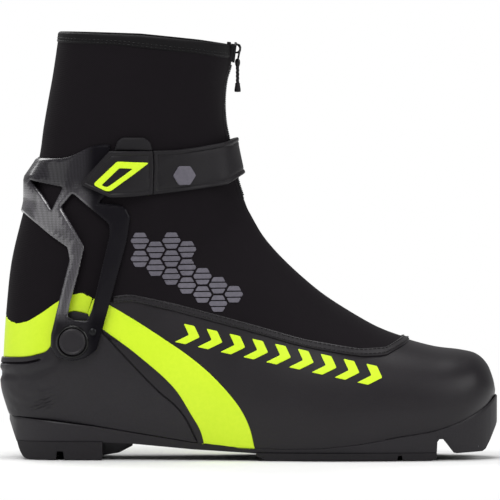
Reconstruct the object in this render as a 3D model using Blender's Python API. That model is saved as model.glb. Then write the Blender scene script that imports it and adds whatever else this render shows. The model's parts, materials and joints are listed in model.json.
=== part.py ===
"""A cross country skating boot: soft upper, moulded sole, hinged cuff, strap and zip.

Metres, +Z up, +X towards the toe. The origin is the centre of the heel's ground face.
The boot is a right one, so -Y is its outer (lateral) side and +Y its inner (medial) side.
Tables below are in millimetres and are turned into metres by mm().
"""

import math

import bmesh
import bpy
import numpy as np
from mathutils import Vector
from mathutils.bvhtree import BVHTree

MM = 0.001
GAP = 0.3                  # clearance between neighbouring pieces
LOOP_SIDE = 4              # points from the sole's edge to the widest line, one side
LOOP_TOP = 6               # points from the widest line to the ridge, one side
FAR = 90.0                 # half depth of a cutter that passes through the whole boot

SKIN = 1.4                 # thickness of the outer layer of the upper
STIFFENER = (-1.7, -3.4)   # offsets of the layer under the skin
LINER = (-3.7, -7.2)       # offsets of the padded liner
COUNTER = (2.6, -1.4)      # offsets of the outer heel counter
CUFF_WALL = 2.8
STRAP_WALL = 2.2

PIVOT = (8.2, 71.5)        # x, z of the cuff's pivot
PIN_RADIUS = 3.0
PIN_CLEARANCE = 0.1
BOSS_RADIUS = 10.6
CAP_RADIUS = 9.6
HEAD_RADIUS = 7.3          # the pivot pin's head
RIVET_RADIUS = 2.2
RIVET_SHANK = 1.0
ARM_RIVET = (20.4, 77.5)   # x, z of the rivet in the cuff's front arm
TAB_HINGE_X = 56.0         # lateral line where the strap's tab peels up
SWING_HINGE_X = 50.0       # medial line where the strap swings open
WIRE_RADIUS = 0.6          # the zip ring's wire
ROUND = 28                 # sides of a small round piece

FLOOR_INSET = 12           # how far inside the rim the upper is open below
BOARD_INSET = 12.4
BOARD = (0.1, 3.3)         # heights of the lasting board's faces above the feather line
INSOLE = (7.6, 10.4)       # heights of the insole's faces above the feather line
SHANK = (-1.6, -0.2)
SHANK_ENDS = (2.5, 125.5)
BAR = (250.5, 8.0)         # x, z of the toe's binding bar
BAR_RADIUS = 1.6
BAR_HALF = 25.0            # half length of the bar
BAR_GAP_HALF = 21.0        # half width of the pocket that bares the bar
BLOCK_FRONT = 26.0         # front face of the heel block
TREAD_TOP = 10.3           # joint between the heel tread and the outsole
TREAD_INSET = 1.2
BALL_BACK, BALL_FRONT = 118.0, 227.0
NOTCH_IN = 14.0            # how far from the middle the heel's side notches begin
GUIDE = (9.0, 15.0)        # inner and outer edge of a guide groove under the ball
GUIDE_DEPTH = 2.4
ZIP_HALF = 9.3             # half width of the slot for the zip
ZIP_FOOT = 150.0           # lower end of the slot
TAPE_HALF = 9.0
TEETH_HALF = 2.3
PIPING = (1.2, 0.3)
PIPING_HALF = 2.2          # half width of the band over the seam
BINDING = (0.9, -2.4)
BADGE_PLACE, BADGE_RADIUS = (74, 171), 5.4
LACE_RADIUS = 0.7
LACE_DEPTH = 2.6           # depth of the lace under the skin
BOSS_FACES = (3.9, 7.2)    # the boss's inner and outer face, from the skin at the pivot
CAP_FACE = 7.5             # the pin's head and its ring begin here
NUT_RADIUS = 5.5

# Cross sections of the boot's form, from the toe's tip to above the collar:
# ridge x, z; base x, z; half width; half width at the base / half width; height of the
# widest line as a share of the section; roundness of the ridge end and of the base end.
SECTIONS = (
    (262.6, 41.5, 262.3, 37.6, 6.0, 0.80, 0.40, 2.0, 2.0),
    (261.2, 48.0, 260.6, 35.6, 16.0, 0.84, 0.35, 2.1, 2.0),
    (257.6, 56.6, 256.5, 31.8, 24.5, 0.86, 0.32, 2.2, 2.0),
    (251.0, 62.6, 249.5, 27.2, 32.0, 0.87, 0.30, 2.3, 2.0),
    (241.0, 65.1, 239.5, 22.2, 38.0, 0.88, 0.30, 2.3, 2.0),
    (226.0, 67.0, 224.5, 17.5, 43.5, 0.89, 0.30, 2.3, 2.0),
    (208.0, 71.8, 204.0, 14.0, 47.5, 0.90, 0.30, 2.3, 2.0),
    (191.0, 78.2, 181.0, 10.1, 49.8, 0.91, 0.30, 2.2, 2.0),
    (173.0, 88.4, 157.0, 7.4, 49.6, 0.91, 0.30, 2.1, 2.0),
    (158.0, 98.3, 134.0, 7.0, 47.6, 0.89, 0.31, 2.0, 2.0),
    (145.5, 108.6, 108.0, 7.6, 44.6, 0.84, 0.33, 2.0, 2.0),
    (135.5, 118.0, 80.0, 10.8, 42.0, 0.79, 0.35, 2.0, 2.0),
    (127.5, 126.5, 50.0, 15.8, 40.0, 0.79, 0.37, 2.0, 2.0),
    (121.5, 134.0, 20.0, 20.3, 38.6, 0.81, 0.38, 2.0, 2.1),
    (117.2, 140.8, -6.0, 23.4, 38.0, 0.79, 0.38, 2.0, 2.2),
    (114.6, 145.4, -20.0, 24.7, 37.8, 0.62, 0.38, 2.0, 2.2),
    (112.4, 149.4, -29.0, 26.0, 37.8, 0.16, 0.38, 2.0, 2.2),
    (110.4, 154.4, -33.2, 45.0, 38.0, 0.14, 0.40, 2.0, 2.2),
    (107.4, 163.0, -33.0, 65.0, 38.2, 0.14, 0.42, 2.0, 2.2),
    (105.0, 172.0, -31.6, 88.0, 38.2, 0.14, 0.44, 2.0, 2.2),
    (102.8, 182.0, -28.6, 117.0, 38.0, 0.14, 0.46, 2.0, 2.1),
    (100.8, 192.0, -22.4, 143.5, 38.0, 0.14, 0.48, 2.1, 2.1),
    (99.0, 201.0, -16.4, 163.6, 38.4, 0.14, 0.49, 2.1, 2.1),
    (98.2, 210.0, -11.5, 181.7, 38.9, 0.14, 0.50, 2.1, 2.1),
    (98.3, 219.0, -9.1, 198.6, 39.4, 0.14, 0.50, 2.1, 2.1),
    (99.5, 228.5, -6.0, 216.1, 40.0, 0.14, 0.50, 2.1, 2.1),
    (102.0, 237.5, -3.0, 232.4, 40.6, 0.14, 0.50, 2.1, 2.1),
    (102.2, 249.0, 0.0, 252.5, 41.0, 0.14, 0.50, 2.1, 2.1),
    (102.4, 262.0, 1.5, 268.0, 41.2, 0.14, 0.50, 2.1, 2.1),
)

FOOT_SECTIONS = 17         # sections whose base lies on the sole, from the toe to the heel

# Lines of the side view, x and z
HEEL_PANEL_TOP = ((-45, 83), (-22, 82.8), (-12, 87.6), (2.3, 98.6), (13.3, 100.7), (20.5, 97.8))
UPPER_SEAM = ((20.5, 97.8), (31, 96.4), (43, 97.7), (69, 92), (117, 79), (146, 70.5), (180, 64.4),
              (196, 65), (207.5, 71), (216, 77))
STRIPE_FRONT = ((31, 91.6), (63, 73), (93, 50), (107, 34), (114, 21), (117.6, 8), (117.8, -5))
STRIPE_REAR = ((87, -5), (86.8, 10.7), (79.3, 25.8), (67.7, 43.6), (44.6, 64), (26.1, 77.7),
               (17.5, 84.5))
COUNTER_TOP = ((-45, 61.5), (-13.7, 63), (-7.2, 65.4), (-4, 70), (0, 82), (8, 86.5), (17.5, 84.5))
COUNTER_FRONT = ((17.5, 84.5), (26.3, 75.1), (46.5, 54), (60, 40.4), (68.2, 34.2), (74.4, 26),
                 (80.7, 12.5), (82, -5))
COLLAR_TOP = ((-20, 258), (0, 257.1), (48.3, 255.3), (84.5, 251.7), (102, 249.3), (120, 247))
COLLAR_LOW = ((-20, 251), (0, 250.5), (35, 249.3), (78.5, 244.5), (99.6, 241.4), (120, 239))
EYESTAY = ((155, 84), (126, 103), (101, 131), (92, 152), (80, 150), (90, 124), (115, 93), (140, 79))
RING_HINGE = (108.9, 247.3)   # x, z of the ring's hinge line in the slider's bridge
PULL_HINGE = (107.2, 238.9)   # x, z of the cord's hinge line on the ring
THROAT = ((158, 84), (128, 104), (103, 132), (90, 160), (84, 192), (84, 236))

CUFF_OUTLINE = ((-40, 181.6), (-4.6, 180.2), (4.8, 181.3), (19.3, 188), (31.1, 189.5), (31.4, 160),
                (33, 153.6), (37.9, 152), (42, 148.5), (41.3, 137.6), (33.7, 104.2), (26.7, 76.7),
                (22.3, 64.9), (14, 60.6), (2, 61.4), (-3.4, 69), (-3.4, 75), (3, 99.9),
                (7.6, 119.8), (7.6, 125.2), (3.9, 130.4), (-11.6, 141.5), (-22, 152.3), (-40, 154))
CUFF_WINDOW = ((9.4, 159.7), (2.6, 153), (16.9, 131), (15.4, 119.8), (6.9, 88), (17, 84),
               (23.5, 106.9), (31.3, 137.6), (30.4, 142.9))
REAR_WINDOW = ((-17.5, 166.4), (2.4, 164), (-2.7, 156), (-3.1, 149.4), (-17.5, 161.5))
TAB_OUTLINE = ((14.9, 166), (22.9, 160.6), (31.9, 157.8), (55.7, 159.7), (55.7, 186.7), (31.4, 186))
ANCHOR_OUTLINE = ((14.9, 166), (22.9, 160.6), (31.9, 157.8), (49.0, 159.2), (49.0, 186.6),
                  (31.4, 186))
STRAP_OUTLINE = ((50, 159.2), (63.9, 160.3), (106.8, 165.4), (125, 168), (120, 194),
                 (106.2, 192.5), (84.5, 188.6), (70, 186.8), (50, 186.6))
INLAY = ((35.4, 179.6), (52.5, 179.6), (29.3, 161.5), (22.8, 165.4))
INLAY_HOLE = ((37.0, 176.6), (46.6, 176.6), (29.6, 164.9), (26.6, 166.8))

# Plan of the sole's rim: x and half width
RIM = ((-28.6, 0.0), (-27.6, 7.5), (-23.5, 16.5), (-16, 24), (-6, 29), (8, 31.3), (28, 31.4),
       (56, 31.4), (82, 33), (108, 37.4), (134, 42.4), (157, 45.2), (181, 45.2), (204, 42.8),
       (224, 38.6), (239, 33.6), (250, 27.8), (257.5, 20.6), (262, 12), (263.6, 0.0))
SOLE_BOTTOM = ((255.5, 4.6), (237, 4.2), (230.4, 11.6), (227.6, 11.6), (227.4, 4.0), (117.5, 4.4),
               (81.5, 6.4), (44.2, 9.8), (26.4, 10.6), (-26, 10.6))

# Side views of the two rubber treads, then of the inner pieces
HEEL_BLOCK = ((-19.4, 0), (BLOCK_FRONT, 0), (BLOCK_FRONT, TREAD_TOP), (-25, TREAD_TOP), (-23, 5))
BALL_BLOCK = ((BALL_BACK, 4.1), (BALL_BACK, 1.9), (124, 0), (203, 0), (203.6, 3.0), (206, 3.0),
              (206.6, 0), (224.5, 0), (BALL_FRONT, 1.6), (BALL_FRONT, 3.7))
TOE_PUFF = ((212, 19.5), (224, 23), (240, 28), (256, 39), (275, 50), (275, 90), (212, 90))
HEEL_STIFFENER = ((-50, 39), (-20, 37), (55, 27), (50, 36), (24, 50), (-10, 62), (-50, 62))
LINER_SIDE = ((-60, -20), (300, -20), (300, 110), (120, 240.5), (-60, 249))
HOOK_PATCH = ((18.5, 168.2), (24, 163.6), (30.4, 161.2), (30.8, 183.2))


def mm(*values):
    return tuple(value * MM for value in values)


def box(firsts, seconds):
    """The four corners of a rectangle from its two ranges."""
    (a, b), (c, d) = firsts, seconds
    return ((a, c), (b, c), (b, d), (a, d))


def material(name, colour, roughness, metallic=0.0):
    """A plain Principled material."""
    found = bpy.data.materials.new(name)
    found.use_nodes = True
    shader = found.node_tree.nodes["Principled BSDF"]
    shader.inputs["Base Color"].default_value = (*colour, 1.0)
    shader.inputs["Roughness"].default_value = roughness
    shader.inputs["Metallic"].default_value = metallic
    return found


def solid(name, points, faces, finish=None):
    """An object from points in millimetres, facing out; a cutter where no finish is given."""
    mesh = bpy.data.meshes.new(name)
    mesh.from_pydata([mm(*point) for point in points], [], faces)
    edit = bmesh.new()
    edit.from_mesh(mesh)
    bmesh.ops.recalc_face_normals(edit, faces=edit.faces)
    edit.to_mesh(mesh)
    edit.free()
    made = bpy.data.objects.new(name, mesh)
    bpy.context.scene.collection.objects.link(made)
    if finish is None:
        made.hide_render = True
        made.display_type = "WIRE"
    else:
        mesh.materials.append(finish)
    return made


def boolean(target, tool, operation="DIFFERENCE"):
    found = target.modifiers.new(operation.title(), "BOOLEAN")
    found.operation = operation
    found.solver = "EXACT"
    found.object = tool
    return target


def shade(made, angle=40):
    """Smooth shading with the sharp edges kept."""
    made.data.shade_smooth()
    made.data.set_sharp_from_angle(angle=math.radians(angle))
    return made


def grown(outline, distance):
    """A closed outline moved out by distance, or in where it is negative."""
    points = np.array(outline, float)
    nxt = np.roll(points, -1, axis=0)
    area = np.sum(points[:, 0] * nxt[:, 1] - nxt[:, 0] * points[:, 1])
    edge = (nxt - points) / np.linalg.norm(nxt - points, axis=1)[:, None]
    normal = np.stack([edge[:, 1], -edge[:, 0]], axis=1) * math.copysign(1.0, area)
    before = np.roll(normal, 1, axis=0)
    turn = 1.0 + np.sum(normal * before, axis=1)
    return points + distance * (normal + before) / np.maximum(turn, 0.5)[:, None]


def prism(name, outline, low, high, along="y", finish=None):
    """An outline pulled straight through: (x, z) along Y, or (x, y) along Z."""
    def placed(a, b, depth):
        return (a, depth, b) if along == "y" else (a, b, depth)
    count = len(outline)
    points = [placed(a, b, low) for a, b in outline] + [placed(a, b, high) for a, b in outline]
    faces = [tuple(range(count)), tuple(range(count, 2 * count))]
    faces += [(i, (i + 1) % count, count + (i + 1) % count, count + i) for i in range(count)]
    return solid(name, points, faces, finish)


def side_prism(name, outline, low=-FAR, high=FAR, grow=0.0):
    """A cutter through the side view's outline."""
    return prism(name, grown(outline, grow) if grow else outline, low, high)


def turned(name, centre, axis, profile, finish, sides=ROUND):
    """A closed round solid: profile is (distance along axis, radius), both ends on the axis."""
    along = Vector(axis).normalized()
    across = along.orthogonal().normalized()
    third = along.cross(across)
    points, faces, rings = [], [], []
    for step, radius in profile:
        middle = Vector(centre) + along * step
        if radius == 0:
            rings.append([len(points)])
            points.append(middle)
            continue
        rings.append(list(range(len(points), len(points) + sides)))
        for i in range(sides):
            turn = 2 * math.pi * i / sides
            points.append(middle + across * radius * math.cos(turn) + third * radius * math.sin(turn))
    for one, two in zip(rings, rings[1:]):
        for i in range(sides):
            j = (i + 1) % sides
            face = [one[i % len(one)], one[j % len(one)], two[j % len(two)], two[i % len(two)]]
            faces.append(list(dict.fromkeys(face)))
    return shade(solid(name, points, faces, finish), 30)


def rod(name, centre, axis, low, high, radius, finish=None, sides=ROUND):
    """A plain round bar between two places along its axis."""
    return turned(name, centre, axis, ((low, 0), (low, radius), (high, radius), (high, 0)), finish, sides)


def superellipse(turn, power):
    """Cosine and sine of a turn, both raised to 2 / power: the shape of a rounded end."""
    return abs(math.cos(turn)) ** (2 / power), abs(math.sin(turn)) ** (2 / power)


def section_loop(section):
    """One closed loop of the form, from the base's middle round by -Y to the ridge and back."""
    top_x, top_z, base_x, base_z, half, base_share, widest, top_power, base_power = section
    start = math.asin(base_share ** (base_power / 2))
    reach = superellipse(start, base_power)[0]
    side = []
    for i in range(LOOP_SIDE):
        cos, sin = superellipse(start + (math.pi / 2 - start) * i / LOOP_SIDE, base_power)
        side.append((widest * (1 - cos / reach), -half * sin))
    for i in range(LOOP_TOP):
        cos, sin = superellipse(math.pi / 2 * (1 + i / LOOP_TOP), top_power)
        side.append((widest + (1 - widest) * cos, -half * sin))
    loop = [(0.0, 0.0), *side, (1.0, 0.0), *[(share, -y) for share, y in reversed(side)]]
    return [(base_x + (top_x - base_x) * share, y, base_z + (top_z - base_z) * share)
            for share, y in loop]


def form_grid():
    """The form's points and its outward directions, as arrays of section, place in the loop, xyz."""
    points = np.array([section_loop(section) for section in SECTIONS])
    along = np.gradient(points, axis=0)
    around = np.roll(points, -1, axis=1) - np.roll(points, 1, axis=1)
    out = np.cross(along, around)
    out /= np.linalg.norm(out, axis=2)[:, :, None]
    away = points - points.mean(axis=1, keepdims=True)
    return points, out * np.sign(np.sum(out * away, axis=(1, 2)))[:, None, None]


FORM_POINTS, FORM_OUT = form_grid()


def form(name, offset, finish=None):
    """The whole closed form, moved out by offset: a number, or a function of x, z and y.

    A form moved in leaves out the narrow sections that would turn over: those at the toe's tip
    and, where it moves deep, the two at the heel's corner. A deep form's base moves only
    sideways, and is then cut off level above the sole, so that its floor stays flat.
    """
    deep = not callable(offset) and offset < -5
    shallow = callable(offset) or offset > -2
    first = 0 if shallow else 2 if offset > -3.5 else 4 if deep else 3
    used = [i for i in range(first, len(SECTIONS)) if not (deep and i in (15, 16))]
    points = FORM_POINTS[used]
    out = FORM_OUT[used].copy()
    if deep:
        for i, row in enumerate(used):
            if row < FOOT_SECTIONS:
                out[i, 0] = 0
                out[i, 1] = (0, -1, 0)
                out[i, -1] = (0, 1, 0)
    if callable(offset):
        moves = np.array([[offset(x, z, y) for x, y, z in loop] for loop in points])[:, :, None]
    else:
        moves = offset
    points = points + out * moves
    rows, columns = points.shape[:2]
    faces = [tuple(range(columns)), tuple(range((rows - 1) * columns, rows * columns))]
    for i in range(rows - 1):
        for j in range(columns):
            k = (j + 1) % columns
            near, far = (j, k) if j < columns // 2 else (k, j)
            corners = (i * columns + near, i * columns + far,
                       (i + 1) * columns + far, (i + 1) * columns + near)
            faces.append((corners[0], corners[1], corners[2]))
            faces.append((corners[0], corners[2], corners[3]))
    made = solid(name, points.reshape(-1, 3).tolist(), faces, finish)
    if deep:
        xs = sorted({section[2] for section in SECTIONS[:FOOT_SECTIONS]})
        above = [(x, feather(x) - offset) for x in (-70.0, *xs, 300.0)] + [(300, 300), (-70, 300)]
        boolean(made, side_prism(name + ".floor", above), "INTERSECT")
    return shade(made, 60) if finish else made


def panel(name, outline, offsets, finish, low=-FAR, high=FAR, holes=()):
    """A piece of the form's wall inside a side view outline, with holes through it."""
    outer, inner = offsets
    made = form(name, outer, finish)
    boolean(made, side_prism(name + ".outline", outline, low, high, -GAP / 2), "INTERSECT")
    boolean(made, form(name + ".inside", inner))
    for hole in holes:
        boolean(made, hole)
    return made


def skin_y(x, z, guide="skin_guide"):
    """How far a form's lateral side lies from the middle plane, at a place in the side view."""
    guide = bpy.data.objects[guide].data
    tree = BVHTree.FromPolygons([v.co for v in guide.vertices], [tuple(p.vertices) for p in guide.polygons])
    hit = tree.ray_cast(Vector(mm(x, -FAR, z)), Vector((0, 1, 0)))[0]
    return -hit.y / MM


def remove_everything():
    for found in list(bpy.data.objects):
        bpy.data.objects.remove(found, do_unlink=True)


def line(points, x):
    """Height of a polyline at x."""
    return float(np.interp(x, [p[0] for p in points], [p[1] for p in points]))


def feather(x):
    """Height of the form's base, where the sole begins."""
    base = sorted((section[2], section[3]) for section in SECTIONS[:FOOT_SECTIONS])
    return line(base, x)


def plan(inset, front=300.0, back=-60.0):
    """The sole rim's outline in plan, drawn in by inset and ended square at front and back."""
    middle = (RIM[0][0] + RIM[-1][0]) / 2
    reach = (RIM[-1][0] - RIM[0][0]) / 2
    broad = max(half for _, half in RIM)
    rim = [(middle + (x - middle) * (1 - inset / reach), half * (1 - inset / broad)) for x, half in RIM]
    inside = [p for p in rim if back < p[0] < front]
    if back > rim[0][0]:
        inside.insert(0, (back, line(rim, back)))
    if front < rim[-1][0]:
        inside.append((front, line(rim, front)))
    return [(x, -half) for x, half in inside] + [(x, half) for x, half in reversed(inside) if half > 0]


def slab(name, outline, low, high, finish):
    """A plate of a plan outline whose faces run at feather(x) + low and feather(x) + high."""
    made = prism(name, outline, -20.0, 130.0, along="z", finish=finish)
    xs = sorted({section[2] for section in SECTIONS[:FOOT_SECTIONS]})
    ends = [-70.0] + xs + [300.0]
    band = [(x, feather(x) + low) for x in ends] + [(x, feather(x) + high) for x in reversed(ends)]
    boolean(made, side_prism(name + ".band", band), "INTERSECT")
    return shade(made, 30)


def ramp(value, low, high):
    """Smooth step from 0 at low to 1 at high."""
    share = min(max((value - low) / (high - low), 0.0), 1.0)
    return share * share * (3 - 2 * share)


def cuff_inner(x, z, y):
    """Clearance under the cuff: wide over the heel counter, close on the shaft, ridged behind."""
    ridge = ramp(z, 146, 158) * ramp(-z, -181, -168)
    return 3.6 - 2.2 * ramp(z, 95, 150) + 4.0 * ridge * ramp(-x, 2, 14)


def cuff_outer(x, z, y):
    return cuff_inner(x, z, y) + CUFF_WALL - 0.8 * ramp(z, 95, 150)


def strap_inner(x, z, y):
    """The strap lies on the shaft in front and climbs over the cuff and its patches behind."""
    return 5.9 - 4.5 * ramp(x, 40, 58)


def strap_outer(x, z, y):
    return strap_inner(x, z, y) + STRAP_WALL


def over(offset, extra):
    return lambda x, z, y: offset(x, z, y) + extra


def circle(centre, radius, count=20):
    return [(centre[0] + radius * math.cos(2 * math.pi * i / count),
             centre[1] + radius * math.sin(2 * math.pi * i / count)) for i in range(count)]


def both_sides(place):
    """Run place(side name, sign, low, high) for the lateral and the medial side."""
    place("lateral", -1, -FAR, -2.0)
    place("medial", 1, 2.0, FAR)


def finishes():
    return {
        "shell_fabric": material("shell_fabric", (0.018, 0.016, 0.018), 0.75),
        "vamp": material("vamp", (0.03, 0.028, 0.031), 0.38),
        "neon": material("neon", (0.72, 0.92, 0.03), 0.35),
        "plastic": material("plastic", (0.035, 0.033, 0.036), 0.45),
        "rubber": material("rubber", (0.025, 0.024, 0.026), 0.6),
        "carbon": material("carbon", (0.03, 0.03, 0.034), 0.22),
        "webbing": material("webbing", (0.02, 0.02, 0.022), 0.55),
        "lining": material("lining", (0.05, 0.05, 0.055), 0.9),
        "board": material("board", (0.30, 0.27, 0.22), 0.8),
        "steel": material("steel", (0.55, 0.56, 0.58), 0.3, 1.0),
        "dark_metal": material("dark_metal", (0.08, 0.08, 0.085), 0.35, 1.0),
        "print": material("print", (0.16, 0.16, 0.18), 0.5),
    }


def build_sole(finish):
    """Outsole, its rubber treads, the binding bar, the shank and the boards above them."""
    xs = sorted(section[2] for section in SECTIONS[:FOOT_SECTIONS])
    top = [(x, feather(x) - GAP) for x in xs]
    rim = [(-40, top[0][1]), *top, (263.4, 37.0), (264.2, 30), (263.0, 22), (258, 8)]
    outsole = prism("outsole", plan(0), -20, 80, along="z", finish=finish["plastic"])
    boolean(outsole, side_prism("outsole.side", [*rim, *SOLE_BOTTOM, (-26.5, 15)]), "INTERSECT")
    below = -5
    boolean(outsole, prism("bar_pocket", box((245, 256.5), (-BAR_GAP_HALF, BAR_GAP_HALF)),
                           below, BAR[1] + 4.5, along="z"))
    bar_centre = (BAR[0], 0, BAR[1])
    hole = BAR_HALF + GAP
    boolean(outsole, rod("bar_hole", bar_centre, (0, 1, 0), -hole, hole, BAR_RADIUS + GAP))
    boolean(outsole, slab("shank_pocket", plan(19, SHANK_ENDS[1] + GAP, SHANK_ENDS[0] - GAP),
                          SHANK[0] - GAP, 5, None))
    shade(outsole, 30)
    rod("toe_binding_bar", bar_centre, (0, 1, 0), -BAR_HALF, BAR_HALF, BAR_RADIUS, finish["steel"])
    slab("shank", plan(19.4, SHANK_ENDS[1], SHANK_ENDS[0]), *SHANK, finish["steel"])
    slab("lasting_board", plan(BOARD_INSET), *BOARD, finish["board"])
    slab("insole", plan(13, 228, -10), *INSOLE, finish["lining"])

    heel = prism("heel_tread", plan(TREAD_INSET, BLOCK_FRONT), below, 30, along="z", finish=finish["rubber"])
    boolean(heel, side_prism("heel_tread.side", HEEL_BLOCK), "INTERSECT")
    for sign in (-1, 1):
        boolean(heel, side_prism(f"heel_notch.{sign}", box((-1.8, 3), (-2, 5)),
                                 *sorted((sign * NOTCH_IN, sign * FAR))))
    ball = prism("forefoot_tread", plan(TREAD_INSET, BALL_FRONT, BALL_BACK), below, 30, along="z",
                 finish=finish["rubber"])
    boolean(ball, side_prism("forefoot_tread.side", BALL_BLOCK), "INTERSECT")
    for sign in (-1, 1):
        groove = box((BALL_BACK - 8, BALL_FRONT + 8), sorted((sign * GUIDE[0], sign * GUIDE[1])))
        boolean(ball, prism(f"guide_groove.{sign}", groove, -3, GUIDE_DEPTH, along="z"))


def build_upper(finish):
    """The outer layer: vamp, stripes, heel panel, counter, shaft fabric, piping and collar."""
    floor = slab("floor_opening", plan(FLOOR_INSET), -6, 4.5, None)
    zip_slot = side_prism("zip_slot", box((60, 150), (ZIP_FOOT, 262)), -ZIP_HALF, ZIP_HALF)
    skin = (0.0, -SKIN)
    seam = UPPER_SEAM[1:]
    panel("vamp", (*seam, (280, 77), (280, -9), (117.8, -9), *STRIPE_FRONT[::-1]), skin,
          finish["vamp"], holes=(floor,))
    stripe = (*STRIPE_FRONT, *STRIPE_REAR, UPPER_SEAM[0], UPPER_SEAM[1])
    trim = (*COUNTER_FRONT, *STRIPE_REAR[:-1])

    def side(name, sign, low, high):
        panel(f"stripe_{name}", stripe, skin, finish["neon"], low, high, (floor,))
        panel(f"side_trim_{name}", trim, skin, finish["vamp"], low, high, (floor,))
        panel(f"eyestay_{name}", EYESTAY, STIFFENER, finish["webbing"], low, high)
    both_sides(side)

    panel("heel_panel", (*HEEL_PANEL_TOP, *COUNTER_TOP[::-1]), skin, finish["neon"])
    counter = (*COUNTER_TOP, *COUNTER_FRONT[1:-1], *counter_base())
    made = panel("heel_counter", counter, COUNTER, finish["plastic"], holes=(floor,))
    boolean(made, rod("counter_bore", (PIVOT[0], 0, PIVOT[1]), (0, 1, 0), -FAR, FAR,
                      PIN_RADIUS + PIN_CLEARANCE))
    panel("softshell_cover", (*HEEL_PANEL_TOP, *seam, (240, 90), *COLLAR_LOW[::-1]), skin,
          finish["shell_fabric"], holes=(zip_slot,))
    panel("collar_binding", (*COLLAR_LOW, *COLLAR_TOP[::-1]), BINDING, finish["webbing"],
          holes=(zip_slot,))
    band = [(x, z + PIPING_HALF) for x, z in seam[1:]] + [(x, z - PIPING_HALF) for x, z in seam[:0:-1]]
    panel("seam_piping", band, PIPING, finish["webbing"])


def counter_base():
    """The counter's lower edge, just above the sole's rim, from front to back."""
    xs = sorted({section[2] for section in SECTIONS[:FOOT_SECTIONS] if section[2] < 80}, reverse=True)
    return [(x, feather(x) + 0.2) for x in xs] + [(-45, feather(-29) + 0.2)]


def build_inside(finish):
    """Toe puff, heel stiffener, liner, tongue and lace."""
    panel("toe_puff", TOE_PUFF, STIFFENER, finish["board"])
    panel("heel_stiffener", HEEL_STIFFENER, STIFFENER, finish["board"])
    throat = (*THROAT, (84, 260), (260, 260), (260, 84))
    hub = skin_y(*PIVOT)
    pockets = [rod(f"nut_pocket.{sign}", (PIVOT[0], 0, PIVOT[1]), (0, sign, 0), hub - 4.3, hub + 3,
                   NUT_RADIUS + 0.7) for sign in (-1, 1)]
    throat_cut = side_prism("liner_throat", throat, grow=GAP)
    panel("liner", LINER_SIDE, LINER, finish["lining"], holes=(throat_cut, *pockets))
    panel("tongue", (*THROAT, (84, 243), (150, 238), (220, 84)), LINER, finish["lining"])
    build_lace(finish)


def build_lace(finish):
    """One lace that runs to and fro over the tongue, a row at each section of the instep."""
    ridge = 1 + LOOP_SIDE + LOOP_TOP
    reach = 2
    path = []
    for row, section in enumerate(range(9, 16)):
        columns = range(ridge - reach, ridge + reach + 1)
        for column in columns if row % 2 == 0 else reversed(columns):
            path.append(FORM_POINTS[section, column] - LACE_DEPTH * FORM_OUT[section, column])
    curve = bpy.data.curves.new("lace", "CURVE")
    curve.dimensions = "3D"
    curve.bevel_depth = LACE_RADIUS * MM
    curve.bevel_resolution = 1
    curve.use_fill_caps = True
    spline = curve.splines.new("POLY")
    spline.points.add(len(path) - 1)
    for point, place in zip(spline.points, path):
        point.co = (*mm(*place), 1.0)
    curve.materials.append(finish["webbing"])
    bpy.context.scene.collection.objects.link(bpy.data.objects.new("lace", curve))


def build_cuff(finish):
    """The hinged cuff with its pins, caps, nuts and rivets on both sides."""
    bore = rod("cuff_bore", (PIVOT[0], 0, PIVOT[1]), (0, 1, 0), -FAR, FAR, PIN_RADIUS + PIN_CLEARANCE)
    cuff = panel("cuff_frame", CUFF_OUTLINE, (cuff_outer, cuff_inner), finish["carbon"], holes=(
        side_prism("cuff_window", CUFF_WINDOW), side_prism("rear_window", REAR_WINDOW)))
    hub = skin_y(*PIVOT)
    arm = skin_y(*ARM_RIVET)

    def side(name, sign, low, high):
        centre, axis = (PIVOT[0], 0, PIVOT[1]), (0, sign, 0)
        cap, head = hub + CAP_FACE, hub + CAP_FACE + 1.3
        boolean(cuff, rod(f"boss.{name}", centre, axis, hub + BOSS_FACES[0], hub + BOSS_FACES[1],
                          BOSS_RADIUS), "UNION")
        turned(f"pivot_pin_{name}", centre, axis, (
            (hub - 3.8, 0), (hub - 3.8, PIN_RADIUS), (cap, PIN_RADIUS), (cap, HEAD_RADIUS),
            (head - 0.4, HEAD_RADIUS), (head, HEAD_RADIUS - 0.7), (head, 0)), finish["plastic"])
        ring = rod(f"pivot_ring_{name}", centre, axis, cap, cap + 1.7, CAP_RADIUS, finish["plastic"])
        boolean(ring, rod(f"ring_bore.{name}", centre, axis, hub, hub + 12, HEAD_RADIUS + GAP))
        nut = rod(f"pivot_nut_{name}", centre, axis, hub - 3.9, hub - 2.7, NUT_RADIUS, finish["steel"])
        boolean(nut, rod(f"nut_bore.{name}", centre, axis, hub - 9, hub + 3, PIN_RADIUS + PIN_CLEARANCE))
        place = (ARM_RIVET[0], 0, ARM_RIVET[1])
        boolean(cuff, rod(f"arm_bore.{name}", place, axis, arm, arm + 12, RIVET_SHANK + GAP))
        under = arm + 6.9
        turned(f"arm_rivet_{name}", place, axis, (
            (arm + 3.6, 0), (arm + 3.6, RIVET_SHANK), (under, RIVET_SHANK), (under, RIVET_RADIUS),
            (under + 0.5, RIVET_RADIUS), (under + 0.9, 1.2), (under + 0.9, 0)), finish["dark_metal"])
    both_sides(side)
    boolean(cuff, bore)
    shade(cuff, 40)


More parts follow.
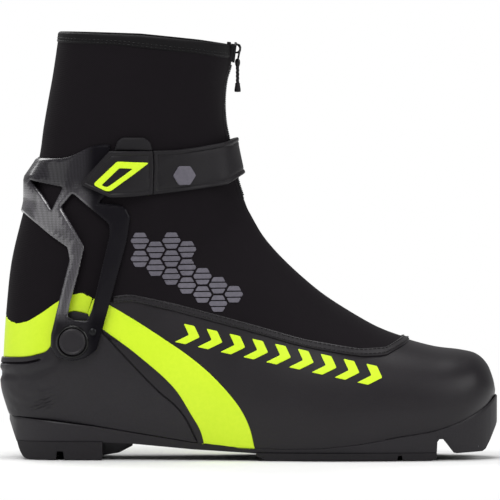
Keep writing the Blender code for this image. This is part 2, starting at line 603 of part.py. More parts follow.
def build_strap(finish):
    """The strap, its fixed medial end, its lateral tab and the patches that hold the tab."""
    panel("strap_anchor", ANCHOR_OUTLINE, (strap_outer, strap_inner), finish["webbing"], 2.0, FAR)
    made = panel("strap_main", STRAP_OUTLINE, (strap_outer, strap_inner), finish["webbing"])
    edge = TAB_HINGE_X + GAP / 2
    boolean(made, side_prism("strap_end", box((0, edge), (140, 210)), -FAR, 0))
    panel("strap_tab", TAB_OUTLINE, (strap_outer, strap_inner), finish["webbing"], -FAR, -2.0)
    panel("tab_inlay", INLAY, (over(strap_outer, 0.8), over(strap_outer, 0.3)), finish["neon"],
          -FAR, -2.0, (side_prism("inlay_hole", INLAY_HOLE),))
    panel("strap_badge", circle(BADGE_PLACE, BADGE_RADIUS), (over(strap_outer, 0.7), over(strap_outer, 0.3)),
          finish["print"], -FAR, -2.0)
    panel("hook_patch", HOOK_PATCH, (over(cuff_outer, 0.8), over(cuff_outer, 0.3)), finish["webbing"],
          -FAR, -2.0)
    panel("loop_patch", HOOK_PATCH, (over(strap_inner, -0.3), over(strap_inner, -0.7)), finish["webbing"],
          -FAR, -2.0)


def build_zip(finish):
    """Zip tape, teeth, slider, pull ring and cord at the front of the collar."""
    panel("zip_tape", ((60, 150.5), (150, 150.5), (130, 247.2), (60, 252)), (-0.2, -1.2),
          finish["webbing"], -TAPE_HALF, TAPE_HALF)
    panel("zip_teeth", ((60, 153), (150, 153), (130, 245), (60, 250)), (0.9, 0.1),
          finish["dark_metal"], -TEETH_HALF, TEETH_HALF)
    slider = prism("zip_slider", ((103.6, 250.4), (107.4, 249.4), (104.7, 239.8), (103.5, 239.4)),
                   -4.6, 4.6, finish=finish["dark_metal"])
    bridge = ((105.5, 249.4), (110.6, 249.2), (110.6, 245.2), (105.5, 244.6))
    boolean(slider, prism("slider_bridge", bridge, -1.1, 1.1), "UNION")
    boolean(slider, rod("bridge_hole", (RING_HINGE[0], 0, RING_HINGE[1]), (0, 1, 0), -3, 3,
                        WIRE_RADIUS + 0.55))
    hoop("zip_ring", RING_HINGE, PULL_HINGE, WIRE_RADIUS, finish["dark_metal"])
    pull = turned("zip_pull", (PULL_HINGE[0], 0, PULL_HINGE[1]), (0, 0, -1), (
        (-1.9, 0), (-1.9, 1.2), (1.0, 1.7), (4, 1.0), (13, 1.1), (16, 1.7), (18.5, 1.5), (18.5, 0)),
        finish["webbing"], 12)
    boolean(pull, rod("pull_hole", (PULL_HINGE[0], 0, PULL_HINGE[1]), (0, 1, 0), -3, 3,
                      WIRE_RADIUS + 0.35))


def hoop(name, top, bottom, radius, finish):
    """A round wire ring whose top and bottom lie on two Y-wise hinge lines."""
    centre = Vector(((top[0] + bottom[0]) / 2, 0, (top[1] + bottom[1]) / 2))
    up = Vector((top[0] - bottom[0], 0, top[1] - bottom[1])) / 2
    steps, sides = 18, 6
    points, faces = [], []
    for i in range(steps):
        turn = 2 * math.pi * i / steps
        out = up * math.cos(turn) + Vector((0, up.length, 0)) * math.sin(turn)
        flat = up.cross(Vector((0, 1, 0))).normalized()
        for j in range(sides):
            roll = 2 * math.pi * j / sides
            points.append(centre + out * (1 + radius * math.cos(roll) / up.length)
                          + flat * radius * math.sin(roll))
            k, m = (i + 1) % steps, (j + 1) % sides
            faces.append((i * sides + j, i * sides + m, k * sides + m, k * sides + j))
    return shade(solid(name, points, faces, finish), 60)


def hang(name, place, pieces):
    """An empty on a joint's axis that carries the joint's pieces."""
    empty = bpy.data.objects.new(name, None)
    empty.location = mm(*place)
    bpy.context.scene.collection.objects.link(empty)
    bpy.context.view_layer.update()
    for piece in pieces:
        made = bpy.data.objects[piece]
        made.parent = empty
        made.matrix_parent_inverse = empty.matrix_world.inverted()
    return empty


def build_joints():
    """The joints' empties, each under the one that carries it."""
    both = [f"{name}_{side}" for name in ("pivot_ring", "arm_rivet") for side in ("lateral", "medial")]
    cuff = hang("cuff_pivot", (PIVOT[0], 0, PIVOT[1]), [
        "cuff_frame", "softshell_cover", "collar_binding", "liner", "tongue", "zip_tape", "zip_teeth",
        "strap_anchor", "hook_patch", *both])
    swing = hang("strap_swing", (SWING_HINGE_X, skin_y(SWING_HINGE_X, 172, "strap_guide"), 172),
                 ["strap_main", "strap_badge"])
    peel = hang("strap_tab_peel", (TAB_HINGE_X, -skin_y(TAB_HINGE_X, 172, "strap_guide"), 172),
                ["strap_tab", "tab_inlay", "loop_patch"])
    slide = hang("zip_slide", (103.6, 0, 244), ["zip_slider"])
    ring = hang("ring_swing", (RING_HINGE[0], 0, RING_HINGE[1]), ["zip_ring"])
    pull = hang("pull_swing", (PULL_HINGE[0], 0, PULL_HINGE[1]), ["zip_pull"])
    for child, parent in ((swing, cuff), (peel, swing), (slide, cuff), (ring, slide), (pull, ring)):
        child.parent = parent
        child.matrix_parent_inverse = parent.matrix_world.inverted()


def build():
    remove_everything()
    form("skin_guide", 0.0)
    form("strap_guide", strap_outer)
    finish = finishes()
    build_sole(finish)
    build_upper(finish)
    build_inside(finish)
    build_cuff(finish)
    build_strap(finish)
    build_zip(finish)
    build_joints()


build()
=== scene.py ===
"""Looks of a cross country skating boot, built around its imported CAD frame.

Metres, +Z up, +X to the toe, -Y the lateral side. Lengths in the tables are millimetres.
"""

import json
import math
import random

import bmesh
import bpy
import numpy as np
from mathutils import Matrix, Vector
from mathutils.bvhtree import BVHTree
from mathutils.geometry import delaunay_2d_cdt
from mathutils.kdtree import KDTree

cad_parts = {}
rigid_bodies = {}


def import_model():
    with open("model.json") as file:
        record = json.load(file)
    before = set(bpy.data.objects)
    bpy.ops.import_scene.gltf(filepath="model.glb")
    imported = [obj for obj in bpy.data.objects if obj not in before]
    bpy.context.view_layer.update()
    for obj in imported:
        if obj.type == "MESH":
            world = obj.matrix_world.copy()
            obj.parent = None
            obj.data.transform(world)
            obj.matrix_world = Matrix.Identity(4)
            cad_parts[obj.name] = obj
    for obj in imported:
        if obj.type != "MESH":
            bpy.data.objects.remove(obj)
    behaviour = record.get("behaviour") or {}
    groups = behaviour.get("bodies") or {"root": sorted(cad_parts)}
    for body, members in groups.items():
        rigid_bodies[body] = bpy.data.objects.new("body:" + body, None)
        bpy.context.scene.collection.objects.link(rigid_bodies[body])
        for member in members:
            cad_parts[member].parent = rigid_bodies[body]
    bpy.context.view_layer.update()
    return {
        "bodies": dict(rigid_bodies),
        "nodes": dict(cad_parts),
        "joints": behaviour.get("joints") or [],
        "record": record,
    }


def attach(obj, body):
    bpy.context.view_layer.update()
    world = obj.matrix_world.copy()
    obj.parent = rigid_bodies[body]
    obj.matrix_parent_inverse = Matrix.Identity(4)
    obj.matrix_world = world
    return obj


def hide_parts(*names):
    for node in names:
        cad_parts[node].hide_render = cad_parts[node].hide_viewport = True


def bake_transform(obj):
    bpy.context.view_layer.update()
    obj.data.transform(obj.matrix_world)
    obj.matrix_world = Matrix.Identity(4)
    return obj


MM = 0.001
FAR = 90.0

NODE_FINISH = {
    "outsole": "plastic", "toe_binding_bar": "steel", "shank": "steel", "lasting_board": "board",
    "insole": "lining", "heel_tread": "rubber", "forefoot_tread": "rubber", "vamp": "vamp",
    "stripe_lateral": "neon", "stripe_medial": "neon", "side_trim_lateral": "vamp",
    "side_trim_medial": "vamp", "eyestay_lateral": "webbing", "eyestay_medial": "webbing",
    "heel_panel": "neon", "heel_counter": "plastic", "softshell_cover": "shell_fabric",
    "collar_binding": "webbing", "seam_piping": "webbing", "toe_puff": "board",
    "heel_stiffener": "board", "liner": "lining", "tongue": "lining", "lace": "webbing",
    "cuff_frame": "carbon", "pivot_pin_lateral": "plastic", "pivot_pin_medial": "plastic",
    "pivot_ring_lateral": "plastic", "pivot_ring_medial": "plastic", "pivot_nut_lateral": "steel",
    "pivot_nut_medial": "steel", "arm_rivet_lateral": "dark_metal", "arm_rivet_medial": "dark_metal",
    "strap_anchor": "strap", "strap_main": "strap", "strap_tab": "strap", "tab_inlay": "neon",
    "strap_badge": "print", "hook_patch": "webbing", "loop_patch": "webbing", "zip_tape": "webbing",
    "zip_teeth": "dark_metal", "zip_slider": "dark_metal", "zip_ring": "dark_metal",
    "zip_pull": "webbing",
}

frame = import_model()
random.seed(7)

# ---------------------------------------------------------------- the boot's form

# ridge x, z; base x, z; half width; base half width / half width; height of the widest
# line as a share of the section; roundness of the ridge end and of the base end
SECTIONS = (
    (262.6, 41.5, 262.3, 37.6, 6.0, 0.80, 0.40, 2.0, 2.0),
    (261.2, 48.0, 260.6, 35.6, 16.0, 0.84, 0.35, 2.1, 2.0),
    (257.6, 56.6, 256.5, 31.8, 24.5, 0.86, 0.32, 2.2, 2.0),
    (251.0, 62.6, 249.5, 27.2, 32.0, 0.87, 0.30, 2.3, 2.0),
    (241.0, 65.1, 239.5, 22.2, 38.0, 0.88, 0.30, 2.3, 2.0),
    (226.0, 67.0, 224.5, 17.5, 43.5, 0.89, 0.30, 2.3, 2.0),
    (208.0, 71.8, 204.0, 14.0, 47.5, 0.90, 0.30, 2.3, 2.0),
    (191.0, 78.2, 181.0, 10.1, 49.8, 0.91, 0.30, 2.2, 2.0),
    (173.0, 88.4, 157.0, 7.4, 49.6, 0.91, 0.30, 2.1, 2.0),
    (158.0, 98.3, 134.0, 7.0, 47.6, 0.89, 0.31, 2.0, 2.0),
    (145.5, 108.6, 108.0, 7.6, 44.6, 0.84, 0.33, 2.0, 2.0),
    (135.5, 118.0, 80.0, 10.8, 42.0, 0.79, 0.35, 2.0, 2.0),
    (127.5, 126.5, 50.0, 15.8, 40.0, 0.79, 0.37, 2.0, 2.0),
    (121.5, 134.0, 20.0, 20.3, 38.6, 0.81, 0.38, 2.0, 2.1),
    (117.2, 140.8, -6.0, 23.4, 38.0, 0.79, 0.38, 2.0, 2.2),
    (114.6, 145.4, -20.0, 24.7, 37.8, 0.62, 0.38, 2.0, 2.2),
    (112.4, 149.4, -29.0, 26.0, 37.8, 0.16, 0.38, 2.0, 2.2),
    (110.4, 154.4, -33.2, 45.0, 38.0, 0.14, 0.40, 2.0, 2.2),
    (107.4, 163.0, -33.0, 65.0, 38.2, 0.14, 0.42, 2.0, 2.2),
    (105.0, 172.0, -31.6, 88.0, 38.2, 0.14, 0.44, 2.0, 2.2),
    (102.8, 182.0, -28.6, 117.0, 38.0, 0.14, 0.46, 2.0, 2.1),
    (100.8, 192.0, -22.4, 143.5, 38.0, 0.14, 0.48, 2.1, 2.1),
    (99.0, 201.0, -16.4, 163.6, 38.4, 0.14, 0.49, 2.1, 2.1),
    (98.2, 210.0, -11.5, 181.7, 38.9, 0.14, 0.50, 2.1, 2.1),
    (98.3, 219.0, -9.1, 198.6, 39.4, 0.14, 0.50, 2.1, 2.1),
    (99.5, 228.5, -6.0, 216.1, 40.0, 0.14, 0.50, 2.1, 2.1),
    (102.0, 237.5, -3.0, 232.4, 40.6, 0.14, 0.50, 2.1, 2.1),
    (102.2, 249.0, 0.0, 252.5, 41.0, 0.14, 0.50, 2.1, 2.1),
    (102.4, 262.0, 1.5, 268.0, 41.2, 0.14, 0.50, 2.1, 2.1),
)
SECTION_STEPS = 8          # fine sections between two of the table's
SIDE_STEPS = 22            # fine points from the sole's edge to the widest line
TOP_STEPS = 34             # fine points from the widest line to the ridge
FLOOR_STEPS = 4            # fine points across half of the floor
HEEL_BLENDS = 220          # passes that even out the widths round the heel's corner
FLANK_BLENDS = 90          # passes that round the flanks there, not the base or the ridge
HEEL_FROM = 11 * SECTION_STEPS
HEEL_TO = 21 * SECTION_STEPS


def smooth_rows(rows, steps):
    """Rows of numbers made finer with a curve through each of them."""
    rows = np.array(rows, float)
    padded = np.vstack([2 * rows[0] - rows[1], rows, 2 * rows[-1] - rows[-2]])
    fine = []
    for i in range(len(rows) - 1):
        a, b, c, d = padded[i:i + 4]
        for step in range(steps):
            t = step / steps
            fine.append(0.5 * (2 * b + (c - a) * t + (2 * a - 5 * b + 4 * c - d) * t * t
                               + (3 * b - a - 3 * c + d) * t ** 3))
    fine.append(rows[-1])
    return np.array(fine)


def section_loop(section):
    """One closed loop of the form, from the base's middle round by -Y to the ridge and back."""
    top_x, top_z, base_x, base_z, half, base_share, widest, top_power, base_power = section
    base_share = min(max(base_share, 0.1), 0.95)
    start = math.asin(base_share ** (base_power / 2))
    reach = math.cos(start) ** (2 / base_power)
    side = [(0.0, -half * base_share * i / FLOOR_STEPS) for i in range(FLOOR_STEPS)]
    for i in range(SIDE_STEPS):
        turn = start + (math.pi / 2 - start) * i / SIDE_STEPS
        side.append((widest * (1 - math.cos(turn) ** (2 / base_power) / reach),
                     -half * math.sin(turn) ** (2 / base_power)))
    for i in range(TOP_STEPS):
        turn = math.pi / 2 * i / TOP_STEPS
        side.append((widest + (1 - widest) * math.sin(turn) ** (2 / top_power),
                     -half * math.cos(turn) ** (2 / top_power)))
    loop = [*side, (1.0, 0.0), *[(share, -y) for share, y in reversed(side[1:])]]
    return [(base_x + (top_x - base_x) * share, y, base_z + (top_z - base_z) * share)
            for share, y in loop]


def form_grid():
    """The form's fine points and outward directions: arrays of section, place in the loop, xyz."""
    points = np.array([section_loop(section) for section in smooth_rows(SECTIONS, SECTION_STEPS)])
    for _ in range(HEEL_BLENDS):
        part = points[HEEL_FROM - 1:HEEL_TO + 1, :, 1]
        points[HEEL_FROM:HEEL_TO, :, 1] = (part[:-2] + 2 * part[1:-1] + part[2:]) / 4
    place = np.arange(points.shape[1])
    flank = np.sin(math.pi * np.minimum(place, points.shape[1] - place) / (points.shape[1] / 2))[:, None]
    for _ in range(FLANK_BLENDS):
        part = points[HEEL_FROM - 1:HEEL_TO + 1]
        even = (part[:-2] + 2 * part[1:-1] + part[2:]) / 4
        points[HEEL_FROM:HEEL_TO] += (even - part[1:-1]) * flank
    along = np.gradient(points, axis=0)
    around = np.roll(points, -1, axis=1) - np.roll(points, 1, axis=1)
    out = np.cross(along, around)
    out /= np.maximum(np.linalg.norm(out, axis=2), 1e-9)[:, :, None]
    for _ in range(HEEL_BLENDS // 2):
        part = out[HEEL_FROM - 1:HEEL_TO + 1]
        out[HEEL_FROM:HEEL_TO] = (part[:-2] + 2 * part[1:-1] + part[2:]) / 4
    out /= np.maximum(np.linalg.norm(out, axis=2), 1e-9)[:, :, None]
    away = points - points.mean(axis=1, keepdims=True)
    return points, out * np.sign(np.sum(out * away, axis=(1, 2)))[:, None, None]


FORM_POINTS, FORM_OUT = form_grid()
ROWS, COLUMNS = FORM_POINTS.shape[:2]
RIDGE = FLOOR_STEPS + SIDE_STEPS + TOP_STEPS
HEEL_ROW = 16 * SECTION_STEPS     # the section whose base is the heel's corner


def grid_faces(rows, columns, closed):
    """Quads of a grid of points, closed round its columns or open."""
    span = columns if closed else columns - 1
    return [(i * columns + j, i * columns + (j + 1) % columns,
             (i + 1) * columns + (j + 1) % columns, (i + 1) * columns + j)
            for i in range(rows - 1) for j in range(span)]


def skin_tree():
    points = [Vector(p) for p in FORM_POINTS.reshape(-1, 3)]
    faces = grid_faces(ROWS, COLUMNS, True)
    faces += [tuple(range(COLUMNS)), tuple(range((ROWS - 1) * COLUMNS, ROWS * COLUMNS))]
    return BVHTree.FromPolygons(points, faces)


SKIN = skin_tree()
FORM_FACES = len(grid_faces(ROWS, COLUMNS, True))


def smooth_out(place, face):
    """The form's outward direction at a place on one of its quads, smoothed over the quad."""
    if face >= FORM_FACES:
        return Vector((0, 0, 1)) if place.z > 200 else Vector((1, 0, 0))
    i, j = divmod(face, COLUMNS)
    total = Vector((0, 0, 0))
    for row, column in ((i, j), (i + 1, j), (i, (j + 1) % COLUMNS), (i + 1, (j + 1) % COLUMNS)):
        gap = (Vector(FORM_POINTS[row, column]) - place).length + 0.05
        total += Vector(FORM_OUT[row, column]) / gap
    return total.normalized()


def side_skin(x, z, side=-1):
    """The skin's point and direction at a place of the side view, on the lateral side (-1) or medial."""
    hit, _, face, _ = SKIN.ray_cast(Vector((x, side * FAR, z)), Vector((0, -side, 0)))
    if hit is None:
        near, _, face, _ = SKIN.find_nearest(Vector((x, 0, z)))
        hit = near
    return hit, smooth_out(hit, face)


def place_on_grid(place, face):
    """Fractional row and column of a place on one of the form's quads."""
    i, j = divmod(min(face, FORM_FACES - 1), COLUMNS)
    a, b = FORM_POINTS[i, j], FORM_POINTS[i, (j + 1) % COLUMNS]
    c, d = FORM_POINTS[i + 1, (j + 1) % COLUMNS], FORM_POINTS[i + 1, j]
    u, v = 0.5, 0.5
    for _ in range(4):
        miss = a + (b - a) * u + (d - a) * v + (a - b + c - d) * u * v - np.array(place)
        by_u = (b - a) + (a - b + c - d) * v
        by_v = (d - a) + (a - b + c - d) * u
        step = np.linalg.lstsq(np.stack([by_u, by_v], axis=1), miss, rcond=None)[0]
        u, v = min(max(u - step[0], 0), 1), min(max(v - step[1], 0), 1)
    return i + v, j + u


def near_skin(point):
    """Row and column of the skin's nearest place to a point."""
    hit, _, face, _ = SKIN.find_nearest(Vector(point))
    return place_on_grid(hit, face)


def on_skin(places):
    """Points and outward directions at fractional rows and columns."""
    places = np.array(places, float)
    s = np.clip(places[:, 0], 0, ROWS - 1.001)
    t = np.mod(places[:, 1], COLUMNS)
    i, j = s.astype(int), t.astype(int) % COLUMNS
    k = (j + 1) % COLUMNS
    v, u = (s - i)[:, None], (t - t.astype(int))[:, None]

    def mixed(grid):
        return ((1 - v) * ((1 - u) * grid[i, j] + u * grid[i, k])
                + v * ((1 - u) * grid[i + 1, j] + u * grid[i + 1, k]))
    out = mixed(FORM_OUT)
    return mixed(FORM_POINTS), out / np.maximum(np.linalg.norm(out, axis=1), 1e-9)[:, None]


def curve(points, step=1.0, closed=False):
    """A smooth dense line through points of the side view (or of space)."""
    points = np.array(points, float)
    if closed:
        points = np.vstack([points, points[:1]])
    if len(points) > 2:
        ends = (points[-2], points[1]) if closed else (2 * points[0] - points[1], 2 * points[-1] - points[-2])
        padded = np.vstack([ends[0], points, ends[1]])
        fine = []
        for i in range(len(points) - 1):
            p, q, r, w = padded[i:i + 4]
            chord = np.linalg.norm(r - q)
            before = (r - p) * chord / max(np.linalg.norm(r - q) + np.linalg.norm(q - p), 1e-6)
            after = (w - q) * chord / max(np.linalg.norm(w - r) + np.linalg.norm(r - q), 1e-6)
            for k in range(12):
                t = k / 12
                fine.append(q * (2 * t ** 3 - 3 * t * t + 1) + before * (t ** 3 - 2 * t * t + t)
                            + r * (3 * t * t - 2 * t ** 3) + after * (t ** 3 - t * t))
        fine.append(points[-1])
        points = np.array(fine)
    return even(points, step)


def even(points, step):
    """A line with points at even distances."""
    points = np.array(points, float)
    run = np.concatenate([[0], np.cumsum(np.linalg.norm(np.diff(points, axis=0), axis=1))])
    count = max(int(round(run[-1] / step)), 1)
    where = np.linspace(0, run[-1], count + 1)
    return np.stack([np.interp(where, run, points[:, k]) for k in range(points.shape[1])], axis=1)


def soften(points, reach, step=0.6):
    """A closed outline with its corners rounded over a reach."""
    points = np.array(points, float)
    closed = even(np.vstack([points, points[:1]]), step)[:-1]
    width = max(int(round(reach / step)), 1)
    total = sum(np.roll(closed, k, axis=0) for k in range(-width, width + 1))
    return total / (2 * width + 1)


def rounded(points, reach, step=0.6):
    """An open line with its corners rounded over a reach and its ends kept."""
    line = even(points, step)
    width = max(int(round(reach / step)), 1)
    padded = np.vstack([np.repeat(line[:1], width, axis=0), line, np.repeat(line[-1:], width, axis=0)])
    total = sum(padded[k:k + len(line)] for k in range(2 * width + 1)) / (2 * width + 1)
    total[0], total[-1] = line[0], line[-1]
    return total


BASE_BACK = FORM_POINTS[HEEL_ROW:, 0]


def trace(points, side=-1):
    """Rows and columns of a line of the side view; columns of the medial side are negative."""
    places = []
    for x, z in points:
        hit, _, face, _ = SKIN.ray_cast(Vector((x, side * FAR, z)), Vector((0, -side, 0)))
        if hit is None or x < float(np.interp(z, BASE_BACK[:, 2], BASE_BACK[:, 0])) + 0.6 and z > 30:
            row = HEEL_ROW + float(np.interp(z, BASE_BACK[:, 2], np.arange(len(BASE_BACK))))
            places.append((row, 0.0))
            continue
        row, column = place_on_grid(hit, face)
        places.append((row, column if side < 0 else column - COLUMNS))
    return np.array(places)


def mirrored(places):
    """A lateral line of rows and columns from the back to the back, closed by its mirror image."""
    places = np.array(places, float)
    other = places[1:-1][::-1].copy()
    other[:, 1] *= -1
    return np.vstack([places, other])


def inside(points, loop):
    """Which points lie inside a closed loop, as an array of true and false."""
    x, y = points[:, 0][:, None], points[:, 1][:, None]
    ax, ay = loop[:, 0][None], loop[:, 1][None]
    bx, by = np.roll(loop[:, 0], -1)[None], np.roll(loop[:, 1], -1)[None]
    crosses = (ay > y) != (by > y)
    at = ax + (y - ay) * (bx - ax) / np.where(by == ay, 1e-12, by - ay)
    return np.sum(crosses & (x < at), axis=1) % 2 == 1


def nearest_distance(points, line):
    """Distance from each point to the nearest of a line's points."""
    tree = KDTree(len(line))
    for i, place in enumerate(line):
        tree.insert(Vector(place), i)
    tree.balance()
    return np.array([tree.find(Vector(point))[2] for point in points])


def quarter(d, rim):
    """Height share of a rounded edge at a distance from it."""
    share = np.clip(np.array(d) / rim, 0, 1)
    return np.sqrt(1 - (1 - share) ** 2)


def mesh_object(name, points, faces, finish, angle=38):
    """An object from points in millimetres, smooth but for its sharp edges."""
    mesh = bpy.data.meshes.new(name)
    mesh.from_pydata((np.array(points) * MM).tolist(), [], faces)
    edit = bmesh.new()
    edit.from_mesh(mesh)
    bmesh.ops.remove_doubles(edit, verts=edit.verts, dist=1e-7)
    bmesh.ops.recalc_face_normals(edit, faces=edit.faces)
    edit.to_mesh(mesh)
    edit.free()
    made = bpy.data.objects.new(name, mesh)
    bpy.context.scene.collection.objects.link(made)
    mesh.materials.append(finish)
    mesh.shade_smooth()
    mesh.set_sharp_from_angle(angle=math.radians(angle))
    return made


def value(amount, points, edge):
    """A fixed offset, or one worked out from points and their distance to the edge."""
    return amount(points, edge) if callable(amount) else np.full(len(points), float(amount))


def patch_mesh(outline, low, high, rim, holes=(), middle=0, spacing=1.3, rings=()):
    """Points and faces of a plate on the skin: an outline of rows and columns between two offsets."""
    def near_middle(places):
        places = np.array(places, float)
        places[:, 1] = (places[:, 1] - middle + COLUMNS / 2) % COLUMNS - COLUMNS / 2
        return places

    loops = []
    for loop in (outline, *holes):
        loop = near_middle(loop)
        around, _ = on_skin(loop + [0, middle])
        closed = np.vstack([np.hstack([loop, around]), np.hstack([loop, around])[:1]])
        run = np.concatenate([[0], np.cumsum(np.linalg.norm(np.diff(closed[:, 2:], axis=0), axis=1))])
        count = max(int(run[-1] / (spacing * 0.75)), 8)
        where = np.linspace(0, run[-1], count + 1)[:-1]
        loops.append(np.stack([np.interp(where, run, closed[:, k]) for k in (0, 1)], axis=1))
    borders = [on_skin(loop + [0, middle]) for loop in loops]
    border = np.vstack([points for points, _ in borders])
    dense = np.vstack([even(np.vstack([points, points[:1]]), 0.25) for points, _ in borders])

    def within(places):
        keep = inside(places, loops[0])
        for loop in loops[1:]:
            keep &= ~inside(places, loop)
        return keep

    extra = []
    for points, out in borders:
        along = np.roll(points, -1, axis=0) - np.roll(points, 1, axis=0)
        across = np.cross(out, along)
        across /= np.maximum(np.linalg.norm(across, axis=1), 1e-9)[:, None]
        for share in (0.12, 0.4, 0.75, 1.15, *rings):
            for sign in (-1, 1):
                ring = near_middle([near_skin(p) for p in points + across * sign * rim * share])
                ring = ring[within(ring)]
                if len(ring):
                    apart = nearest_distance(on_skin(ring + [0, middle])[0], dense)
                    extra.append(ring[apart > 0.8 * rim * share])
    rows, columns = np.meshgrid(np.arange(ROWS), np.arange(-COLUMNS // 2, COLUMNS // 2), indexing="ij")
    nodes = np.stack([rows.ravel(), columns.ravel()], axis=1).astype(float)
    lowest, highest = loops[0].min(axis=0) - 1, loops[0].max(axis=0) + 1
    nodes = nodes[np.all((nodes > lowest) & (nodes < highest), axis=1)]
    nodes = nodes[within(nodes)]
    if len(nodes):
        nodes = nodes[nearest_distance(on_skin(nodes + [0, middle])[0], dense)
                      > max(rim * max((1.5, *rings)) + 0.3 * spacing, 0.7)]
    flat = np.vstack([*loops, *extra, nodes])
    edges, start = [], 0
    for loop in loops:
        edges += [(start + i, start + (i + 1) % len(loop)) for i in range(len(loop))]
        start += len(loop)
    made = delaunay_2d_cdt([Vector(p) for p in flat], edges, [], 0, 1e-5)
    flat = np.array([tuple(p) for p in made[0]])
    triangles = np.array(made[2])
    triangles = triangles[within(flat[triangles].mean(axis=1))]
    points, out = on_skin(flat + [0, middle])
    edge = nearest_distance(points, dense)
    count_by_edge = {}
    for a, b, c in triangles:
        for pair in ((a, b), (b, c), (c, a)):
            key = (min(pair), max(pair))
            count_by_edge[key] = count_by_edge.get(key, 0) + 1
    rims = [pair for pair, count in count_by_edge.items() if count == 1]
    on_rim = {i for pair in rims for i in pair}
    edge[list(on_rim)] = 0.0
    bottom = value(low, points, edge)
    top = value(high, points, edge)
    wall = np.maximum(top - bottom - rim, np.minimum(0.1, 0.3 * (top - bottom)))
    top = bottom + wall + (top - bottom - wall) * quarter(edge, rim)
    count = len(points)
    solid = np.vstack([points + out * top[:, None], points + out * bottom[:, None]])
    faces = [tuple(face) for face in triangles]
    faces += [tuple(i + count for i in reversed(face)) for face in faces]
    faces += [(a, b, b + count, a + count) for a, b in rims]
    flats = np.vstack([flat, flat]) + [0, middle]
    return solid, faces, flats


def patch(name, outline, low, high, finish, rim=0.5, **more):
    solid, faces, flats = patch_mesh(outline, low, high, rim, **more)
    used = sorted({i for face in faces for i in face})
    index = {old: new for new, old in enumerate(used)}
    return mesh_object(name, solid[used], [tuple(index[i] for i in face) for face in faces], finish)


def crossing(column, level):
    """The row at which one column of the form, followed down from the top, falls below a level."""
    points = FORM_POINTS[:, column % COLUMNS]
    over = points[:, 2] - level(points[:, 0])
    for row in range(ROWS - 1, 0, -1):
        if over[row - 1] <= 0 < over[row]:
            return row - over[row] / (over[row] - over[row - 1])
    return 0.0


def level_line(points, lift=0.0):
    points = np.array(points, float)
    return lambda x: np.interp(x, points[:, 0], points[:, 1]) + lift


def band(name, lower, upper, low, high, finish, columns, rows=10, rim=0.6, closed=False,
         shared=False):
    """A strip of the form between two levels of the side view, with rounded long edges.

    With shared rows, neighbouring columns keep the same rows of the form down to the lower level.
    """
    spans = [(crossing(column, lower), crossing(column, upper)) for column in columns]
    first = min(start for start, _ in spans)
    shares = np.concatenate([[0, 0.012, 0.04, 0.09], np.linspace(0.16, 0.84, rows), [0.91, 0.96, 0.988, 1]])
    points, faces = [], []
    for column, (start, end) in zip(columns, spans):
        if shared:
            rows_here = np.maximum(start, np.linspace(first, end, rows))
            points.append(np.stack([rows_here, np.full(rows, float(column))], axis=1))
        else:
            points.append(even_rows(column, start, end, shares, rim))
    places = np.array(points)
    count, around = places.shape[:2]
    spots, out = on_skin(places.reshape(-1, 2))
    spots = spots.reshape(count, around, 3)
    out = out.reshape(count, around, 3)
    steps = np.linalg.norm(np.diff(spots, axis=1), axis=2)
    run = np.concatenate([np.zeros((count, 1)), np.cumsum(steps, axis=1)], axis=1)
    edge = np.minimum(run, run[:, -1:] - run)
    bottom = value(low, spots.reshape(-1, 3), edge.ravel()).reshape(count, around)
    top = value(high, spots.reshape(-1, 3), edge.ravel()).reshape(count, around)
    wall = np.maximum(top - bottom - rim, 0.1)
    top = bottom + wall + (top - bottom - wall) * quarter(edge, rim)
    loop = np.concatenate([spots + out * top[:, :, None], (spots + out * bottom[:, :, None])[:, ::-1]], axis=1)
    made = grid_faces(count + (1 if closed else 0), loop.shape[1], True)
    if closed:
        made = [tuple(i % (count * loop.shape[1]) for i in face) for face in made]
    else:
        size = loop.shape[1]
        made += [tuple(range(size))[::-1], tuple(range((count - 1) * size, count * size))]
    return mesh_object(name, loop.reshape(-1, 3), made, finish)


def even_rows(column, start, end, shares, rim):
    """Places down one column from one row to another, close together at the rounded ends."""
    fine = np.linspace(start, end, 60)
    spots, _ = on_skin(np.stack([fine, np.full(60, float(column))], axis=1))
    run = np.concatenate([[0], np.cumsum(np.linalg.norm(np.diff(spots, axis=0), axis=1))])
    total = run[-1]
    reach = min(rim, total / 2.2)
    near = np.array([0, 0.12, 0.4, 0.75]) * reach
    body = np.linspace(1.1 * reach, total - 1.1 * reach, len(shares) - 8)
    where = np.concatenate([near, body, total - near[::-1]])
    return np.stack([np.interp(where, run, fine), np.full(len(where), float(column))], axis=1)


# ---------------------------------------------------------------- materials

def nodes_of(name):
    """A new material's node maker, its linker and its Principled shader."""
    found = bpy.data.materials.new(name)
    found.use_nodes = True
    tree = found.node_tree

    def add(kind, **settings):
        node = tree.nodes.new(kind)
        for key, setting in settings.items():
            if key.startswith("in_"):
                node.inputs[key[3:].replace("_", " ")].default_value = setting
            else:
                setattr(node, key, setting)
        return node
    return found, add, tree.links.new, tree.nodes["Principled BSDF"]


